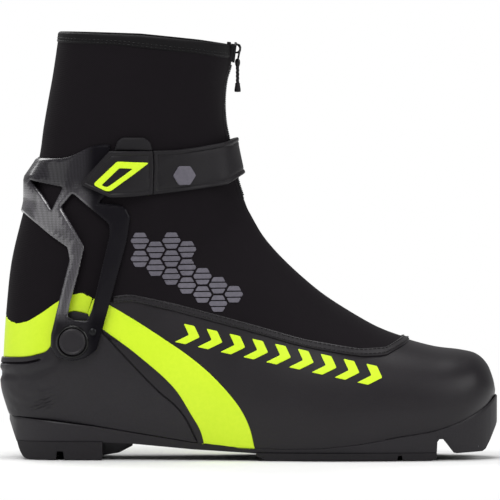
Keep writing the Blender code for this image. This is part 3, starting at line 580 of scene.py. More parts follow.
def varied(name, dark, light, rough, bump, scale, metallic=0.0, coat=0.0, gleam=0.5, stretch=(1, 1, 1)):
    """A material whose colour, gloss and relief all follow fine and broad noise."""
    found, add, link, shader = nodes_of(name)
    place = add("ShaderNodeTexCoord")
    mapping = add("ShaderNodeMapping")
    mapping.inputs["Scale"].default_value = stretch
    link(place.outputs["Object"], mapping.inputs["Vector"])
    fine = add("ShaderNodeTexNoise", in_Scale=scale, in_Detail=4.0, in_Roughness=0.6)
    broad = add("ShaderNodeTexNoise", in_Scale=22.0, in_Detail=3.0)
    link(mapping.outputs["Vector"], fine.inputs["Vector"])
    link(place.outputs["Object"], broad.inputs["Vector"])
    mixed = add("ShaderNodeMath", operation="MULTIPLY")
    link(fine.outputs["Fac"], mixed.inputs[0])
    link(broad.outputs["Fac"], mixed.inputs[1])
    ramp = add("ShaderNodeValToRGB")
    ramp.color_ramp.elements[0].position = 0.12
    ramp.color_ramp.elements[1].position = 0.42
    ramp.color_ramp.elements[0].color = (*dark, 1)
    ramp.color_ramp.elements[1].color = (*light, 1)
    link(mixed.outputs[0], ramp.inputs["Fac"])
    link(ramp.outputs["Color"], shader.inputs["Base Color"])
    gloss = add("ShaderNodeMapRange")
    gloss.inputs["To Min"].default_value = rough - 0.07
    gloss.inputs["To Max"].default_value = rough + 0.09
    link(broad.outputs["Fac"], gloss.inputs["Value"])
    link(gloss.outputs["Result"], shader.inputs["Roughness"])
    relief = add("ShaderNodeBump", in_Strength=bump, in_Distance=0.0003)
    link(fine.outputs["Fac"], relief.inputs["Height"])
    link(relief.outputs["Normal"], shader.inputs["Normal"])
    shader.inputs["Metallic"].default_value = metallic
    shader.inputs["Coat Weight"].default_value = coat
    shader.inputs["Coat Roughness"].default_value = 0.15
    shader.inputs["Specular IOR Level"].default_value = gleam
    return found


def woven(name, dark, light, rough, pitch, bump, diagonal, coat=0.0, sheen=0.0, gleam=0.5,
          fade=None):
    """Cloth or carbon laid in two directions: threads cross in a plain or a diagonal order.

    fade = steps (axis, from, to, share, share): painted shade along an axis, a share that darkens the weave's
    colour, coat and specular level where less light falls.
    """
    found, add, link, shader = nodes_of(name)
    place = add("ShaderNodeTexCoord")
    parts = add("ShaderNodeSeparateXYZ")
    link(place.outputs["Object"], parts.inputs[0])

    def math_of(operation, *values):
        node = add("ShaderNodeMath", operation=operation)
        for i, item in enumerate(values):
            if hasattr(item, "links"):
                link(item, node.inputs[i])
            else:
                node.inputs[i].default_value = item
        return node.outputs[0]

    across = math_of("ADD", parts.outputs["X"], math_of("MULTIPLY", parts.outputs["Y"], 0.55))
    a = math_of("ADD", across, math_of("MULTIPLY", parts.outputs["Z"], diagonal))
    b = math_of("SUBTRACT", math_of("MULTIPLY", across, diagonal), parts.outputs["Z"])
    wave_a = math_of("SINE", math_of("MULTIPLY", a, 2 * math.pi / pitch))
    wave_b = math_of("SINE", math_of("MULTIPLY", b, 2 * math.pi / pitch))
    weave = math_of("MULTIPLY_ADD", math_of("MULTIPLY", wave_a, wave_b), 0.5, 0.5)
    noise = add("ShaderNodeTexNoise", in_Scale=60.0, in_Detail=3.0)
    link(place.outputs["Object"], noise.inputs["Vector"])
    shade = math_of("MULTIPLY", weave, math_of("ADD", noise.outputs["Fac"], 0.5))
    ramp = add("ShaderNodeValToRGB")
    ramp.color_ramp.elements[0].color = (*dark, 1)
    ramp.color_ramp.elements[1].color = (*light, 1)
    link(shade, ramp.inputs["Fac"])
    link(ramp.outputs["Color"], shader.inputs["Base Color"])
    gloss = add("ShaderNodeMapRange")
    gloss.inputs["To Min"].default_value = rough + 0.08
    gloss.inputs["To Max"].default_value = rough - 0.05
    link(weave, gloss.inputs["Value"])
    link(gloss.outputs["Result"], shader.inputs["Roughness"])
    relief = add("ShaderNodeBump", in_Strength=bump, in_Distance=0.0002)
    link(weave, relief.inputs["Height"])
    link(relief.outputs["Normal"], shader.inputs["Normal"])
    shader.inputs["Coat Weight"].default_value = coat
    shader.inputs["Coat Roughness"].default_value = 0.12
    shader.inputs["Specular IOR Level"].default_value = gleam
    shader.inputs["Sheen Weight"].default_value = sheen
    # painted shade: the fade steps scale down the weave's colour, coat and specular level, standing in for less
    # light
    if fade:
        painted_shade_share = 1.0
        for axis, start, end, first, last in fade:
            step = add("ShaderNodeMapRange", interpolation_type="SMOOTHSTEP")
            for socket, amount in (("From Min", start * MM), ("From Max", end * MM), ("To Min", first),
                                   ("To Max", last)):
                step.inputs[socket].default_value = amount
            link(parts.outputs[axis], step.inputs["Value"])
            painted_shade_share = math_of("MULTIPLY", step.outputs["Result"], painted_shade_share)
        link(math_of("MULTIPLY", shade, painted_shade_share), ramp.inputs["Fac"])
        link(math_of("MULTIPLY", painted_shade_share, coat), shader.inputs["Coat Weight"])
        link(math_of("MULTIPLY", painted_shade_share, gleam), shader.inputs["Specular IOR Level"])
    return found


FINISH = {
    "shell_fabric": woven("shell_fabric", (0.0034, 0.0021, 0.0034), (0.0058, 0.0040, 0.0058), 0.78, 0.0011,
                          0.3, 0.0, sheen=0.0, gleam=0.13),
    "vamp": varied("vamp", (0.0075, 0.0060, 0.0080), (0.0110, 0.0088, 0.0117), 0.42, 0.2, 900.0, gleam=0.32),
    "neon": varied("neon", (0.60, 0.84, 0.010), (0.66, 0.88, 0.020), 0.42, 0.06, 400.0, gleam=0.4),
    "plastic": varied("plastic", (0.0085, 0.0072, 0.0095), (0.0135, 0.0114, 0.0148), 0.44, 0.2, 700.0,
                      gleam=0.32),
    "rubber": varied("rubber", (0.0065, 0.0055, 0.0070), (0.0105, 0.0088, 0.0113), 0.60, 0.35, 500.0,
                     gleam=0.3),
    # painted shade on the carbon: darker towards the toe past X 13 to 22 mm, below Z 82 to 92 mm and above Z 156
    # to 166 mm
    "carbon": woven("carbon", (0.0060, 0.0054, 0.0072), (0.0620, 0.0560, 0.0680), 0.26, 0.0030, 0.12, 1.0,
                    coat=0.8, gleam=0.9, fade=(("X", 13.0, 22.0, 1.0, 0.06), ("Z", 82.0, 92.0, 0.12, 1.0),
                                                   ("Z", 156.0, 166.0, 1.0, 0.3))),
    "webbing": woven("webbing", (0.0045, 0.0038, 0.0050), (0.0084, 0.0071, 0.0094), 0.6, 0.0009, 0.4, 0.0,
                     gleam=0.25),
    "binding": woven("binding", (0.0016, 0.0013, 0.0018), (0.0032, 0.0026, 0.0035), 0.6, 0.0009, 0.4, 0.0,
                     gleam=0.15),
    "strap": varied("strap", (0.0051, 0.0043, 0.0056), (0.0081, 0.0067, 0.0089), 0.44, 0.15, 600.0,
                    gleam=0.24),
    "lining": woven("lining", (0.0100, 0.0088, 0.0118), (0.0220, 0.0194, 0.0252), 0.88, 0.0016, 0.6, 0.0,
                    sheen=0.15, gleam=0.2),
    "thread": varied("thread", (0.0120, 0.0101, 0.0129), (0.0280, 0.0238, 0.0309), 0.6, 0.3, 2500.0, gleam=0.3),
    "board": varied("board", (0.22, 0.19, 0.14), (0.34, 0.30, 0.23), 0.8, 0.3, 300.0),
    "steel": varied("steel", (0.42, 0.43, 0.45), (0.62, 0.63, 0.65), 0.32, 0.1, 600.0, metallic=1.0,
                    stretch=(1, 12, 1)),
    "dark_metal": varied("dark_metal", (0.008, 0.008, 0.009), (0.020, 0.020, 0.022), 0.34, 0.1, 900.0,
                         metallic=0.8),
    "jet": varied("jet", (0.0012, 0.0010, 0.0013), (0.0020, 0.0017, 0.0021), 0.22, 0.1, 700.0, gleam=0.3),
    "print": varied("print", (0.0950, 0.0890, 0.1100), (0.1450, 0.1360, 0.1660), 0.5, 0.15, 500.0, gleam=0.3),
}


def finish_node(name):
    """The finish that a CAD node carries by the record."""
    return FINISH[NODE_FINISH[name]]


# ---------------------------------------------------------------- lines of the side view, x and z

PIVOT = (8.2, 71.5)
UPPER_SEAM = ((20.5, 97.8), (31, 96.4), (43, 97.7), (69, 92), (117, 79), (146, 70.5), (180, 64.4),
              (196, 65), (207.5, 71), (216, 77))
HEEL_PANEL_TOP = ((-45, 89), (-33.4, 87.4), (-30, 83.6), (-25.5, 82.0), (-20.5, 82.8), (-12, 87.4),
                  (2.3, 97.4), (13.3, 100.7), (20.5, 97.8))
STRIPE_FRONT = ((31, 93), (46, 84), (63, 73), (79, 62), (93, 50), (107, 34), (114, 21), (117.8, 6))
STRIPE_REAR = ((86.9, 7.4), (84, 17.5), (79.3, 25.8), (67.7, 43.6), (44.6, 64), (26.1, 77.7),
               (16.5, 86.5))
COUNTER_TOP = ((-45, 60.5), (-21, 61.5), (-13.7, 63), (-7.2, 65.4), (-4, 70), (-2.5, 77), (1.0, 84.5),
               (8, 89.4), (17.5, 88.0))
COUNTER_FRONT = ((17.5, 88.0), (26.3, 75.9), (46.5, 54.6), (60, 41), (69.5, 33), (76, 25), (81.5, 14),
                 (83.5, 8))
COLLAR_LOW = ((-20, 251), (0, 250.5), (35, 249.3), (78.5, 244.5), (99.6, 241.4), (120, 239))
COLLAR_TOP = ((-20, 258), (0, 257.1), (48.3, 255.3), (84.5, 251.7), (102, 249.3), (120, 247))


def feather(x):
    """Height of the sole's upper edge."""
    base = sorted((row[2], row[3]) for row in SECTIONS[:17])
    return float(np.interp(x, [p[0] for p in base], [p[1] for p in base]))


def ramp(value, low, high):
    """Smooth step from 0 at low to 1 at high."""
    share = np.clip((np.asarray(value, float) - low) / (high - low), 0, 1)
    return share * share * (3 - 2 * share)


# ---------------------------------------------------------------- the upper's base layers

def build_vamp():
    """The closed shoe: the whole foot to just above the seam, one dense skin with a wall."""
    last = 19 * SECTION_STEPS
    points, out = FORM_POINTS[:last], FORM_OUT[:last]
    centre = points.mean(axis=1, keepdims=True)
    inner = points - (points - centre) / np.linalg.norm(points - centre, axis=2)[:, :, None] * 1.3
    start = 2
    solid = np.vstack([points.reshape(-1, 3), inner[start:].reshape(-1, 3)])
    offset = last * COLUMNS
    faces = grid_faces(last, COLUMNS, True)
    faces += [tuple(i + offset for i in reversed(face)) for face in grid_faces(last - start, COLUMNS, True)]
    faces.append(tuple(range(COLUMNS)))
    faces.append(tuple(offset + i for i in reversed(range(COLUMNS))))
    top, low = (last - 1) * COLUMNS, offset + (last - start - 1) * COLUMNS
    faces += [(top + i, top + (i + 1) % COLUMNS, low + (i + 1) % COLUMNS, low + i) for i in range(COLUMNS)]
    made = mesh_object("vamp_shell", solid, faces, FINISH["vamp"], 60)
    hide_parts("vamp", "side_trim_lateral", "side_trim_medial")
    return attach(made, "boot")


def folds(points, edge):
    """The softshell's loose fall: shallow waves across the ankle's bend and down the shaft."""
    x, y, z = points[:, 0], points[:, 1], points[:, 2]
    side = np.sign(y) * 0.6
    bend = np.exp(-((z - 128 - 0.25 * (x - 60)) / 26) ** 2)
    waves = np.sin((z + 0.55 * x + 3 * np.sin(x / 17 + side)) / 6.5) * ramp(x, 30, 110)
    fall = np.sin(x / 13 + 1.3 * np.sin(z / 31 + side)) * ramp(z, 150, 215)
    return 0.75 + 0.30 * bend * waves + 0.16 * fall


def build_softshell():
    """The zipped cover: from the seam all round up to the collar."""
    lower = HEEL_PANEL_TOP[:-1] + UPPER_SEAM
    made = band("softshell", level_line(lower, -1.5), level_line(COLLAR_LOW, 2.0), -0.5, folds,
                FINISH["shell_fabric"], range(COLUMNS), rows=150, rim=0.4, closed=True, shared=True)
    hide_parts("softshell_cover")
    return bend(made)


def bend(made):
    """A soft piece that crosses the ankle: still at the pivot, with the cuff above it."""
    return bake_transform(made)


def build_collar():
    """The stitched binding that folds over the collar's edge."""
    zip_half = 5
    columns = list(range(-RIDGE + zip_half, RIDGE - zip_half + 1))
    made = band("collar_band", level_line(COLLAR_LOW, -0.6), level_line(COLLAR_TOP, -0.2), -3.4,
                lambda points, edge: 1.35 + 0.12 * np.sin(points[:, 0] / 7) + 0 * edge,
                FINISH["binding"], columns, rows=14, rim=1.6)
    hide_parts("collar_binding")
    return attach(made, "cuff")


def build_piping():
    """The double-stitched band over the seam between vamp and softshell."""
    seam = UPPER_SEAM[1:]
    columns = [c for c in range(COLUMNS) if seam_x(c) > 30.0]
    made = band("seam_band", level_line(seam, -2.3), level_line(seam, 2.3), 0.05,
                lambda points, edge: 1.15 + 0.25 * ramp(edge, 0.8, 2.0), FINISH["vamp"], columns,
                rows=8, rim=0.9)
    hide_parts("seam_piping")
    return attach(made, "boot")


def seam_x(column):
    """Where a column of the form meets the upper seam."""
    row = crossing(column, level_line(UPPER_SEAM))
    return on_skin([(row, column)])[0][0][0]


# ---------------------------------------------------------------- overlays on the foot

def both(make):
    """Run make(side name, sign) for the lateral side (-Y) and the medial side (+Y)."""
    for name, sign in (("lateral", -1), ("medial", 1)):
        make(name, sign)


def sole_edge(start, end, lift=0.5):
    """The side-view line just above the sole between two x's."""
    return [(x, feather(x) + lift) for x in np.linspace(start, end, 30)]


def build_stripes():
    """The broad neon sweep from the ankle to the arch, with a narrow dark edging behind it."""
    front, rear = curve(STRIPE_FRONT), curve(STRIPE_REAR)
    lower = sole_edge(STRIPE_FRONT[-1][0], STRIPE_REAR[0][0])
    trim_rear = curve(np.array(COUNTER_FRONT[1:]) + [0.5, 0.4])
    trim_front = curve(np.array(STRIPE_REAR) + [0.9, 0.8])
    trim_low = sole_edge(trim_rear[-1][0], trim_front[0][0])

    def side(name, sign):
        outline = trace(soften([*front, *lower, *rear, (18.2, 90.5), (20.8, 97.2), (26, 96.4)], 0.8), sign)
        made = patch(f"stripe_{name}.film", outline, -0.3, 0.75, FINISH["neon"], rim=0.5)
        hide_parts(f"stripe_{name}")
        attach(made, "boot")
        outline = trace(soften([*trim_rear, *trim_low, *trim_front], 0.5), sign)
        made = patch(f"edging_{name}", outline, -0.3, 1.25, FINISH["vamp"], rim=0.6, spacing=1.0)
        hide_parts(f"side_trim_{name}")
        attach(made, "boot")
    both(side)


def build_heel_panel():
    """The neon panel round the back of the heel, above the counter."""
    low = [*COUNTER_TOP[::-1]]
    outline = [*curve(HEEL_PANEL_TOP), *curve(low)]
    outline = np.array(outline) + 0.0
    lateral = trace([p for p in outline], -1)
    made = patch("heel_film", mirrored(lateral), -0.3, 0.8, FINISH["neon"], rim=0.7)
    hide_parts("heel_panel")
    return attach(made, "boot")


def from_line(x, z, start, end):
    """Distance in the side view from a straight line between two places."""
    (ax, az), (bx, bz) = start, end
    share = np.clip(((x - ax) * (bx - ax) + (z - az) * (bz - az)) / ((bx - ax) ** 2 + (bz - az) ** 2), 0, 1)
    return np.hypot(x - ax - share * (bx - ax), z - az - share * (bz - az))


def counter_height(points, edge):
    """The counter's relief: a shoulder, a recess and a leaning, slotted lip; ribs and a crease."""
    x, z = points[:, 0], points[:, 2]
    shoulder_z = np.interp(x, (-36, -21, -10, -3, 1, 12), (49.5, 49.2, 51.5, 54.7, 60.7, 74))
    above = z - shoulder_z
    behind = ramp(-x, 1, 10)
    shoulder = 1.2 * ramp(-above, -0.5, 0.5) * ramp(-x, -9, 4) * ramp(z, 30, 44)
    lip = ramp(above, 3.6, 4.6) * np.clip(1.9 - 0.13 * above, 0.3, 1.5) * behind
    slot = 1.5 * np.exp(-((edge - 3.4) / 0.45) ** 2) * ramp(-x, 9, 12) * ramp(z, 54, 56)
    bars = np.clip(1.8 * np.sin((x + z * 0.85) * 2 * math.pi / 6.4), -1, 1)
    ribs = 0.4 * bars * ramp(-x, -1, 8) * ramp(z, 28, 33) * ramp(-z, -47, -43) * ramp(x, -30, -24)
    crease = 0.4 * np.exp(-(from_line(x, z, (33, 40.6), (27.0, 31)) / 0.8) ** 2)
    return 1.5 + shoulder + lip - slot + ribs + crease


def build_counter():
    """The moulded cup round the heel, which carries the cuff's pivots."""
    bottom = sole_edge(83, -27, 1.0)
    outline = [*curve(COUNTER_TOP), *curve(COUNTER_FRONT[1:-1]), *bottom, (-45, 26.8)]
    made = patch("counter_shell", mirrored(trace(outline, -1)), -1.0, counter_height, FINISH["plastic"],
                 rim=0.5, spacing=1.0, rings=(1.8, 2.8, 3.4, 4.0, 5.2, 6.8, 8.6))
    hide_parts("heel_counter")
    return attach(made, "boot")


# ---------------------------------------------------------------- cuff

CUFF_TOP = ((-45, 181), (-9, 180.6), (4.8, 181.3), (12, 184.2), (19.3, 188), (25, 189.4), (31.1, 189.6))
CUFF_FRONT = ((31.1, 189.6), (30.8, 161), (26.2, 157.2), (24.4, 154.6), (36.5, 153.4), (40.4, 151.2),
              (42.8, 146.2), (40.6, 132), (25.4, 75.5))
CUFF_FOOT = ((25.4, 75.5), (22.8, 66.5), (16.4, 61.8), (8.2, 60.2), (0.2, 62), (-3.6, 68.2), (-3.2, 76),
             (2.2, 98), (7.5, 120.5), (6.0, 127.8), (-5, 135.5), (-19.8, 147.2), (-25, 151), (-45, 152.6))
CUFF_WINDOW = ((9.5, 160.2), (2.6, 151.8), (16.0, 128.5), (12.2, 111), (8.0, 95), (6.4, 86.6), (9.5, 84.6),
               (17.6, 84.2), (20.3, 91), (30.7, 136), (30.2, 142))
REAR_WINDOW = ((-13.2, 166.4), (3.6, 163.6), (-3.0, 149.2))


def from_window(x, z):
    """Distance in the side view from the outline of the cuff's window."""
    corners = (*CUFF_WINDOW, CUFF_WINDOW[0])
    return np.min([from_line(x, z, a, b) for a, b in zip(corners, corners[1:])], axis=0)


def cuff_high(points, edge):
    """The cuff's outer face: arms that slope away from the window, a boss, a shelf-like ridge behind."""
    x, z = points[:, 0], points[:, 2]
    side = 5.9 - 2.6 * ramp(z, 95, 150)
    back = np.interp(z, (140, 150, 154, 160, 167.3, 181.5, 190), (2.6, 2.5, 2.9, 4.8, 6.9, 1.9, 1.8))
    behind = ramp(-x, 2, 12)
    from_pivot = np.hypot(x - PIVOT[0], z - PIVOT[1])
    off_hub = ramp(from_pivot, 10.4, 13.4)
    slope = 1.7 * (1 - np.minimum(from_window(x, z), 9.0) / 9.0) * off_hub
    chamfer = -0.7 * ramp(-edge, -1.5, 0.0)
    boss = 0.9 * (1 - off_hub)
    return (side + slope + boss) * (1 - behind) + back * behind + chamfer


def cuff_low(points, edge):
    """The cuff's inner face, a wall's thickness in from its outer face."""
    flat = np.full(len(points), 50.0)
    return np.maximum(cuff_high(points, flat) - 2.3, 0.9)


def build_cuff():
    """The carbon-look cuff: two arms from the pivots joined by the band behind the ankle."""
    lateral = rounded([*curve(CUFF_TOP), *CUFF_FRONT[1:], *CUFF_FOOT[1:]], 0.8)
    lateral = trace(lateral, -1)
    window = trace(soften(CUFF_WINDOW, 1.2), -1)
    rear = trace(soften(REAR_WINDOW, 0.9), -1)
    holes = [window, window * [1, -1], rear, rear * [1, -1]]
    made = patch("cuff_shell", mirrored(lateral), cuff_low, cuff_high, FINISH["carbon"], rim=0.5,
                 holes=holes, spacing=0.9, rings=(1.3, 2.0, 2.8))
    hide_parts("cuff_frame")
    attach(made, "cuff")


# ---------------------------------------------------------------- strap

TAB = ((14.2, 165.6), (31.2, 157.8), (44, 158.4), (60, 160.0), (80, 162.2), (106.8, 165.8), (125, 168.6))
TAB_TOP = ((125, 194), (106.2, 191.9), (84.5, 188.2), (70, 186.4), (50, 186.0), (31.2, 185.9), (14.2, 165.6))
INLAY = ((35.4, 179.8), (53.6, 179.0), (31.4, 161.6), (28.6, 161.8), (22.4, 165.2), (22.6, 166.4))
INLAY_HOLE = ((36.6, 175.8), (44.2, 175.5), (30.2, 164.4), (28.8, 164.2), (26.6, 165.3))
HINGE_X = 56.0
SWING_X = 50.0


def strap_low(points, edge):
    """The strap lies on the shaft in front and climbs over the cuff behind."""
    return 5.4 - 4.0 * ramp(points[:, 0], 36, 60) + 3.0 * ramp(points[:, 0], 86, 99)


def strap_high(points, edge):
    """The strap's outer face: a raised hem, a shallow crease and a rolled edge."""
    x, z = points[:, 0], points[:, 2]
    hem = 0.3 * ramp(-edge, -3.0, -2.2)
    seam = -0.45 * np.exp(-((edge - 2.7) / 0.6) ** 2)
    crease = np.interp(x, (55, 60.4, 70, 84, 107.4), (171, 175.6, 183.2, 185.6, 188.9))
    fold = 0.35 * ramp(z - crease, -0.6, 0.6) * ramp(x, 56, 66)
    return strap_low(points, edge) + 2.0 + hem + seam + fold


def strap_piece(name, outline, node, body, middle):
    made = patch(name, outline, strap_low, strap_high, FINISH["strap"], rim=0.9, middle=middle, spacing=1.1,
                 rings=(2.3, 3.0, 3.8))
    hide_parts(node)
    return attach(made, body)


def cut_line(points, low, high):
    """The part of a side-view line between two x's, with its ends on them."""
    points = np.array(points, float)
    points = points[np.argsort(points[:, 0])]
    xs = [x for x in np.arange(low, high, 1.0)] + [high]
    return [(x, float(np.interp(x, points[:, 0], points[:, 1]))) for x in xs]


def build_strap():
    """The strap over the instep: medial anchor, main length round the front, lateral tab."""
    lower, upper = even(TAB, 1.0), even(TAB_TOP, 1.0)
    end = trace(rounded([(31.2, 185.9), (14.2, 165.6), (31.2, 157.8)], 1.0), -1)
    tab_low = trace(cut_line(lower, 31.6, HINGE_X - 0.06), -1)
    tab_top = trace(cut_line(upper, 31.6, HINGE_X - 0.06)[::-1], -1)
    strap_piece("tab_shell", np.vstack([tab_low, tab_top, end]), "strap_tab", "tab", 0)
    mirror_low = trace(cut_line(lower, 31.6, SWING_X - 0.5), 1)
    mirror_top = trace(cut_line(upper, 31.6, SWING_X - 0.5)[::-1], 1)
    other = end * [1, -1]
    strap_piece("anchor_shell", np.vstack([mirror_low, mirror_top, other]), "strap_anchor", "cuff", 0)
    front = 97.0
    low_side = trace(cut_line(lower, HINGE_X + 0.06, front), -1)
    top_side = trace(cut_line(upper, HINGE_X + 0.06, front), -1)
    low_far = trace(cut_line(lower, SWING_X + 0.5, front), 1)
    top_far = trace(cut_line(upper, SWING_X + 0.5, front), 1)
    low_far[:, 1] += COLUMNS
    top_far[:, 1] += COLUMNS
    loop = np.vstack([low_side, low_far[::-1], top_far, top_side[::-1]])
    strap_piece("strap_shell", loop, "strap_main", "strap", RIDGE)

    def raised(low, high):
        return (lambda points, edge: strap_low(points, edge) + low,
                lambda points, edge: strap_low(points, edge) + high)
    low, high = raised(1.6, 3.0)
    made = patch("inlay_film", trace(soften(INLAY, 0.9), -1), low, high,
                 FINISH["neon"], rim=0.4, holes=(trace(soften(INLAY_HOLE, 0.6), -1),),
                 spacing=0.8)
    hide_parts("tab_inlay")
    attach(made, "tab")
    disc = soften([(74 + 6.6 * math.cos(t), 171 + 6.6 * math.sin(t)) for t in np.arange(6) * math.pi / 3], 0.8)
    low, high = raised(1.6, 2.85)
    made = patch("badge", trace(disc, -1), low, high, FINISH["print"], rim=0.5, spacing=0.8)
    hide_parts("strap_badge")
    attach(made, "strap")


# ---------------------------------------------------------------- sole

RIM = ((-30.6, 0.0), (-29.2, 7.5), (-24.8, 16.5), (-16.5, 24), (-6, 29), (8, 31.5), (28, 31.7),
       (56, 31.8), (82, 33.4), (108, 37.8), (134, 42.8), (157, 45.6), (181, 45.6), (204, 43.2),
       (224, 39.0), (239, 34.0), (250, 28.2), (257.5, 21.0), (262.6, 12.6), (264.8, 0.0))
RIM_LINE = curve(RIM, 0.5)


def rim_half(x):
    """Half width of the sole's rim, which reaches out under the counter at the heel."""
    half = np.interp(x, RIM_LINE[:, 0], RIM_LINE[:, 1], left=0.0, right=0.0)
    return half + 1.2 * ramp(-x, -92, -74) * min(1.0, half / 12)


def slab_mesh(name, xs, across, low, high, side, finish, angle=32):
    """A closed body of cross sections along X: a lower and an upper surface and its two sides.

    low and high give heights at (x, y); side gives how far each height share draws the edge in.
    """
    shares = np.array([0.0, 0.06, 0.14, 0.3, 0.45, 0.6, 0.72, 0.80, 0.84, 0.88, 0.94, 1.0])
    loops = []
    for x in xs:
        half = max(float(rim_half(x)), 0.05)
        ys = np.array(across) * half
        base = [(x, y * (1 - side(x, 0.0) / max(half, 4)), low(x, y)) for y in ys]
        lip = [(x, y * (1 - side(x, 1.0) / max(half, 4)), high(x, y)) for y in ys]
        right = [(x, half - side(x, s) * min(1, half / 4), low(x, half) + (high(x, half) - low(x, half)) * s)
                 for s in shares[1:-1]]
        left = [(x, -half + side(x, s) * min(1, half / 4), low(x, -half) + (high(x, -half) - low(x, -half)) * s)
                for s in shares[1:-1]]
        loops.append([*base, *right, *lip[::-1], *left[::-1]])
    size = len(loops[0])
    faces = grid_faces(len(loops), size, True)
    faces += [tuple(range(size))[::-1], tuple(range((len(loops) - 1) * size, len(loops) * size))]
    return mesh_object(name, np.array(loops).reshape(-1, 3), faces, finish, angle)


def steps_of(points):
    """x's to cut at, close together where a side-view line turns."""
    xs = {round(float(x), 3) for x in np.arange(-30.4, 264.6, 2.0)}
    for x, _ in points:
        xs |= {round(x - 0.25, 3), round(x, 3), round(x + 0.25, 3)}
    return sorted(x for x in xs if -30.5 <= x <= 264.7)


SOLE_LINE = ((-30.6, 23.5), (-27.6, 15.1), (-25.9, 10.5), (26.2, 10.4), (44.2, 9.6), (81.5, 6.2), (117.5, 4.2),
             (226.8, 3.8), (227.2, 11.0), (228.4, 12.6), (230.6, 12.6), (232.2, 10.6), (237, 4.4), (239, 4.0),
             (254.6, 4.8), (256.6, 6.2), (259.4, 11.5), (263, 20), (265, 26))


def outsole_low(x, y):
    """The outsole's underside: arch, flexing notch before the toe block, and the bar's recess."""
    z = float(np.interp(x, [p[0] for p in SOLE_LINE], [p[1] for p in SOLE_LINE]))
    if 26 < x < 44 and abs(y) < 15:
        z = float(np.interp(x, (26, 36, 44), (1.8, 3.4, 7.6)))
    if 44 < x < 112 and abs(y) < 19:
        z += 0.9 * (1 - math.cos((x - 44) / 68 * 2 * math.pi)) * 0.5
        if int((x - 44) / 5.6) % 2 == 0:
            z += 0.7
    if 244.6 < x < 256.6 and abs(y) < 21:
        z = max(z, 12.0)
    return z


def outsole_side(x, share):
    """The outsole's side wall: drawn in below, a groove under the upper edge."""
    tuck = 2.0 * (1 - share) ** 2 + 0.3 * math.sin(share * math.pi)
    return tuck + 0.5 * max(0.0, share - 0.94) / 0.06


def heel_low(x, y):
    """The heel tread's ground face: side notches, cross cuts and a rounded back."""
    z = 0.0
    if -1.8 < x < 3.0 and abs(y) > 13:
        z = 5.0
    if abs(y) < 11 and -16 < x < 23 and int((x + 16) / 4.2) % 2:
        z = 2.2
    if abs(abs(y) - 12.2) < 0.8:
        z = max(z, 2.4)
    back = max(0.0, -x - 17.5) / 8.1
    return max(z, 0.9 * back, 10.2 * back ** 3)


def ball_low(x, y):
    """The forefoot tread's ground face: guide grooves, side lugs and a rounded start."""
    z = 0.0
    if 9 < abs(y) < 15:
        z = 2.4
    if 16 <= abs(y) < float(rim_half(x)) - 5 and (x - 118) % 7.2 > 5.2:
        z = 2.2
    if 203 < x < 206.2 and abs(y) > 15:
        z = 3.0
    if abs(y) < 9 and (x - 120) % 9.5 < 2.2:
        z = 1.6
    return max(z, 2.4 * max(0.0, 124.5 - x) / 6.0, 1.6 * max(0.0, x - 224.0) / 3.0)


def build_sole():
    """The outsole with its two rubber treads."""
    across = np.concatenate([[-1.0, -0.985], np.linspace(-0.95, 0.95, 41), [0.985, 1.0]])
    cuts = [*SOLE_LINE, (26, 0), (44, 0), (244.6, 0), (256.6, 0)]
    cuts += [(44 + 5.6 * k, 0) for k in range(13)]
    made = slab_mesh("sole_body", steps_of(cuts), across, outsole_low,
                     lambda x, y: feather(x) - 0.1, outsole_side, FINISH["plastic"])
    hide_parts("outsole")
    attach(made, "boot")

    def tread(name, node, start, end, low, top):
        xs = sorted({round(float(x), 3) for x in [*np.arange(start, end, 0.55), end]})
        fine = np.linspace(-1, 1, 121)
        piece = slab_mesh(name, xs, fine, low, lambda x, y: top,
                          lambda x, share: 1.6 - 0.5 * share, FINISH["rubber"])
        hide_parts(node)
        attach(piece, "boot")
    tread("heel_rubber", "heel_tread", -25.6, 26.0, heel_low, 10.7)
    tread("ball_rubber", "forefoot_tread", 118.3, 226.7, ball_low, 4.4)


# ---------------------------------------------------------------- round parts, stitches and graphics

def lathe(points, faces, centre, axis, profile, sides=40):
    """Adds a closed round body to points and faces: profile is (distance along axis, radius)."""
    along = Vector(axis).normalized()
    across = along.orthogonal().normalized()
    third = along.cross(across)
    start = len(points)
    for step, radius in profile:
        for i in range(sides):
            turn = 2 * math.pi * i / sides
            place = Vector(centre) + along * step + (across * math.cos(turn) + third * math.sin(turn)) * radius
            points.append(tuple(place))
    faces += [tuple(start + i for i in face) for face in grid_faces(len(profile), sides, True)]
    faces.append(tuple(range(start, start + sides)))
    faces.append(tuple(range(start + (len(profile) - 1) * sides, start + len(profile) * sides)))


def round_part(name, centre, axis, profile, finish, node, body, angle=28):
    points, faces = [], []
    lathe(points, faces, centre, axis, profile)
    made = mesh_object(name, points, faces, finish, angle)
    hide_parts(node)
    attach(made, body)
    return made


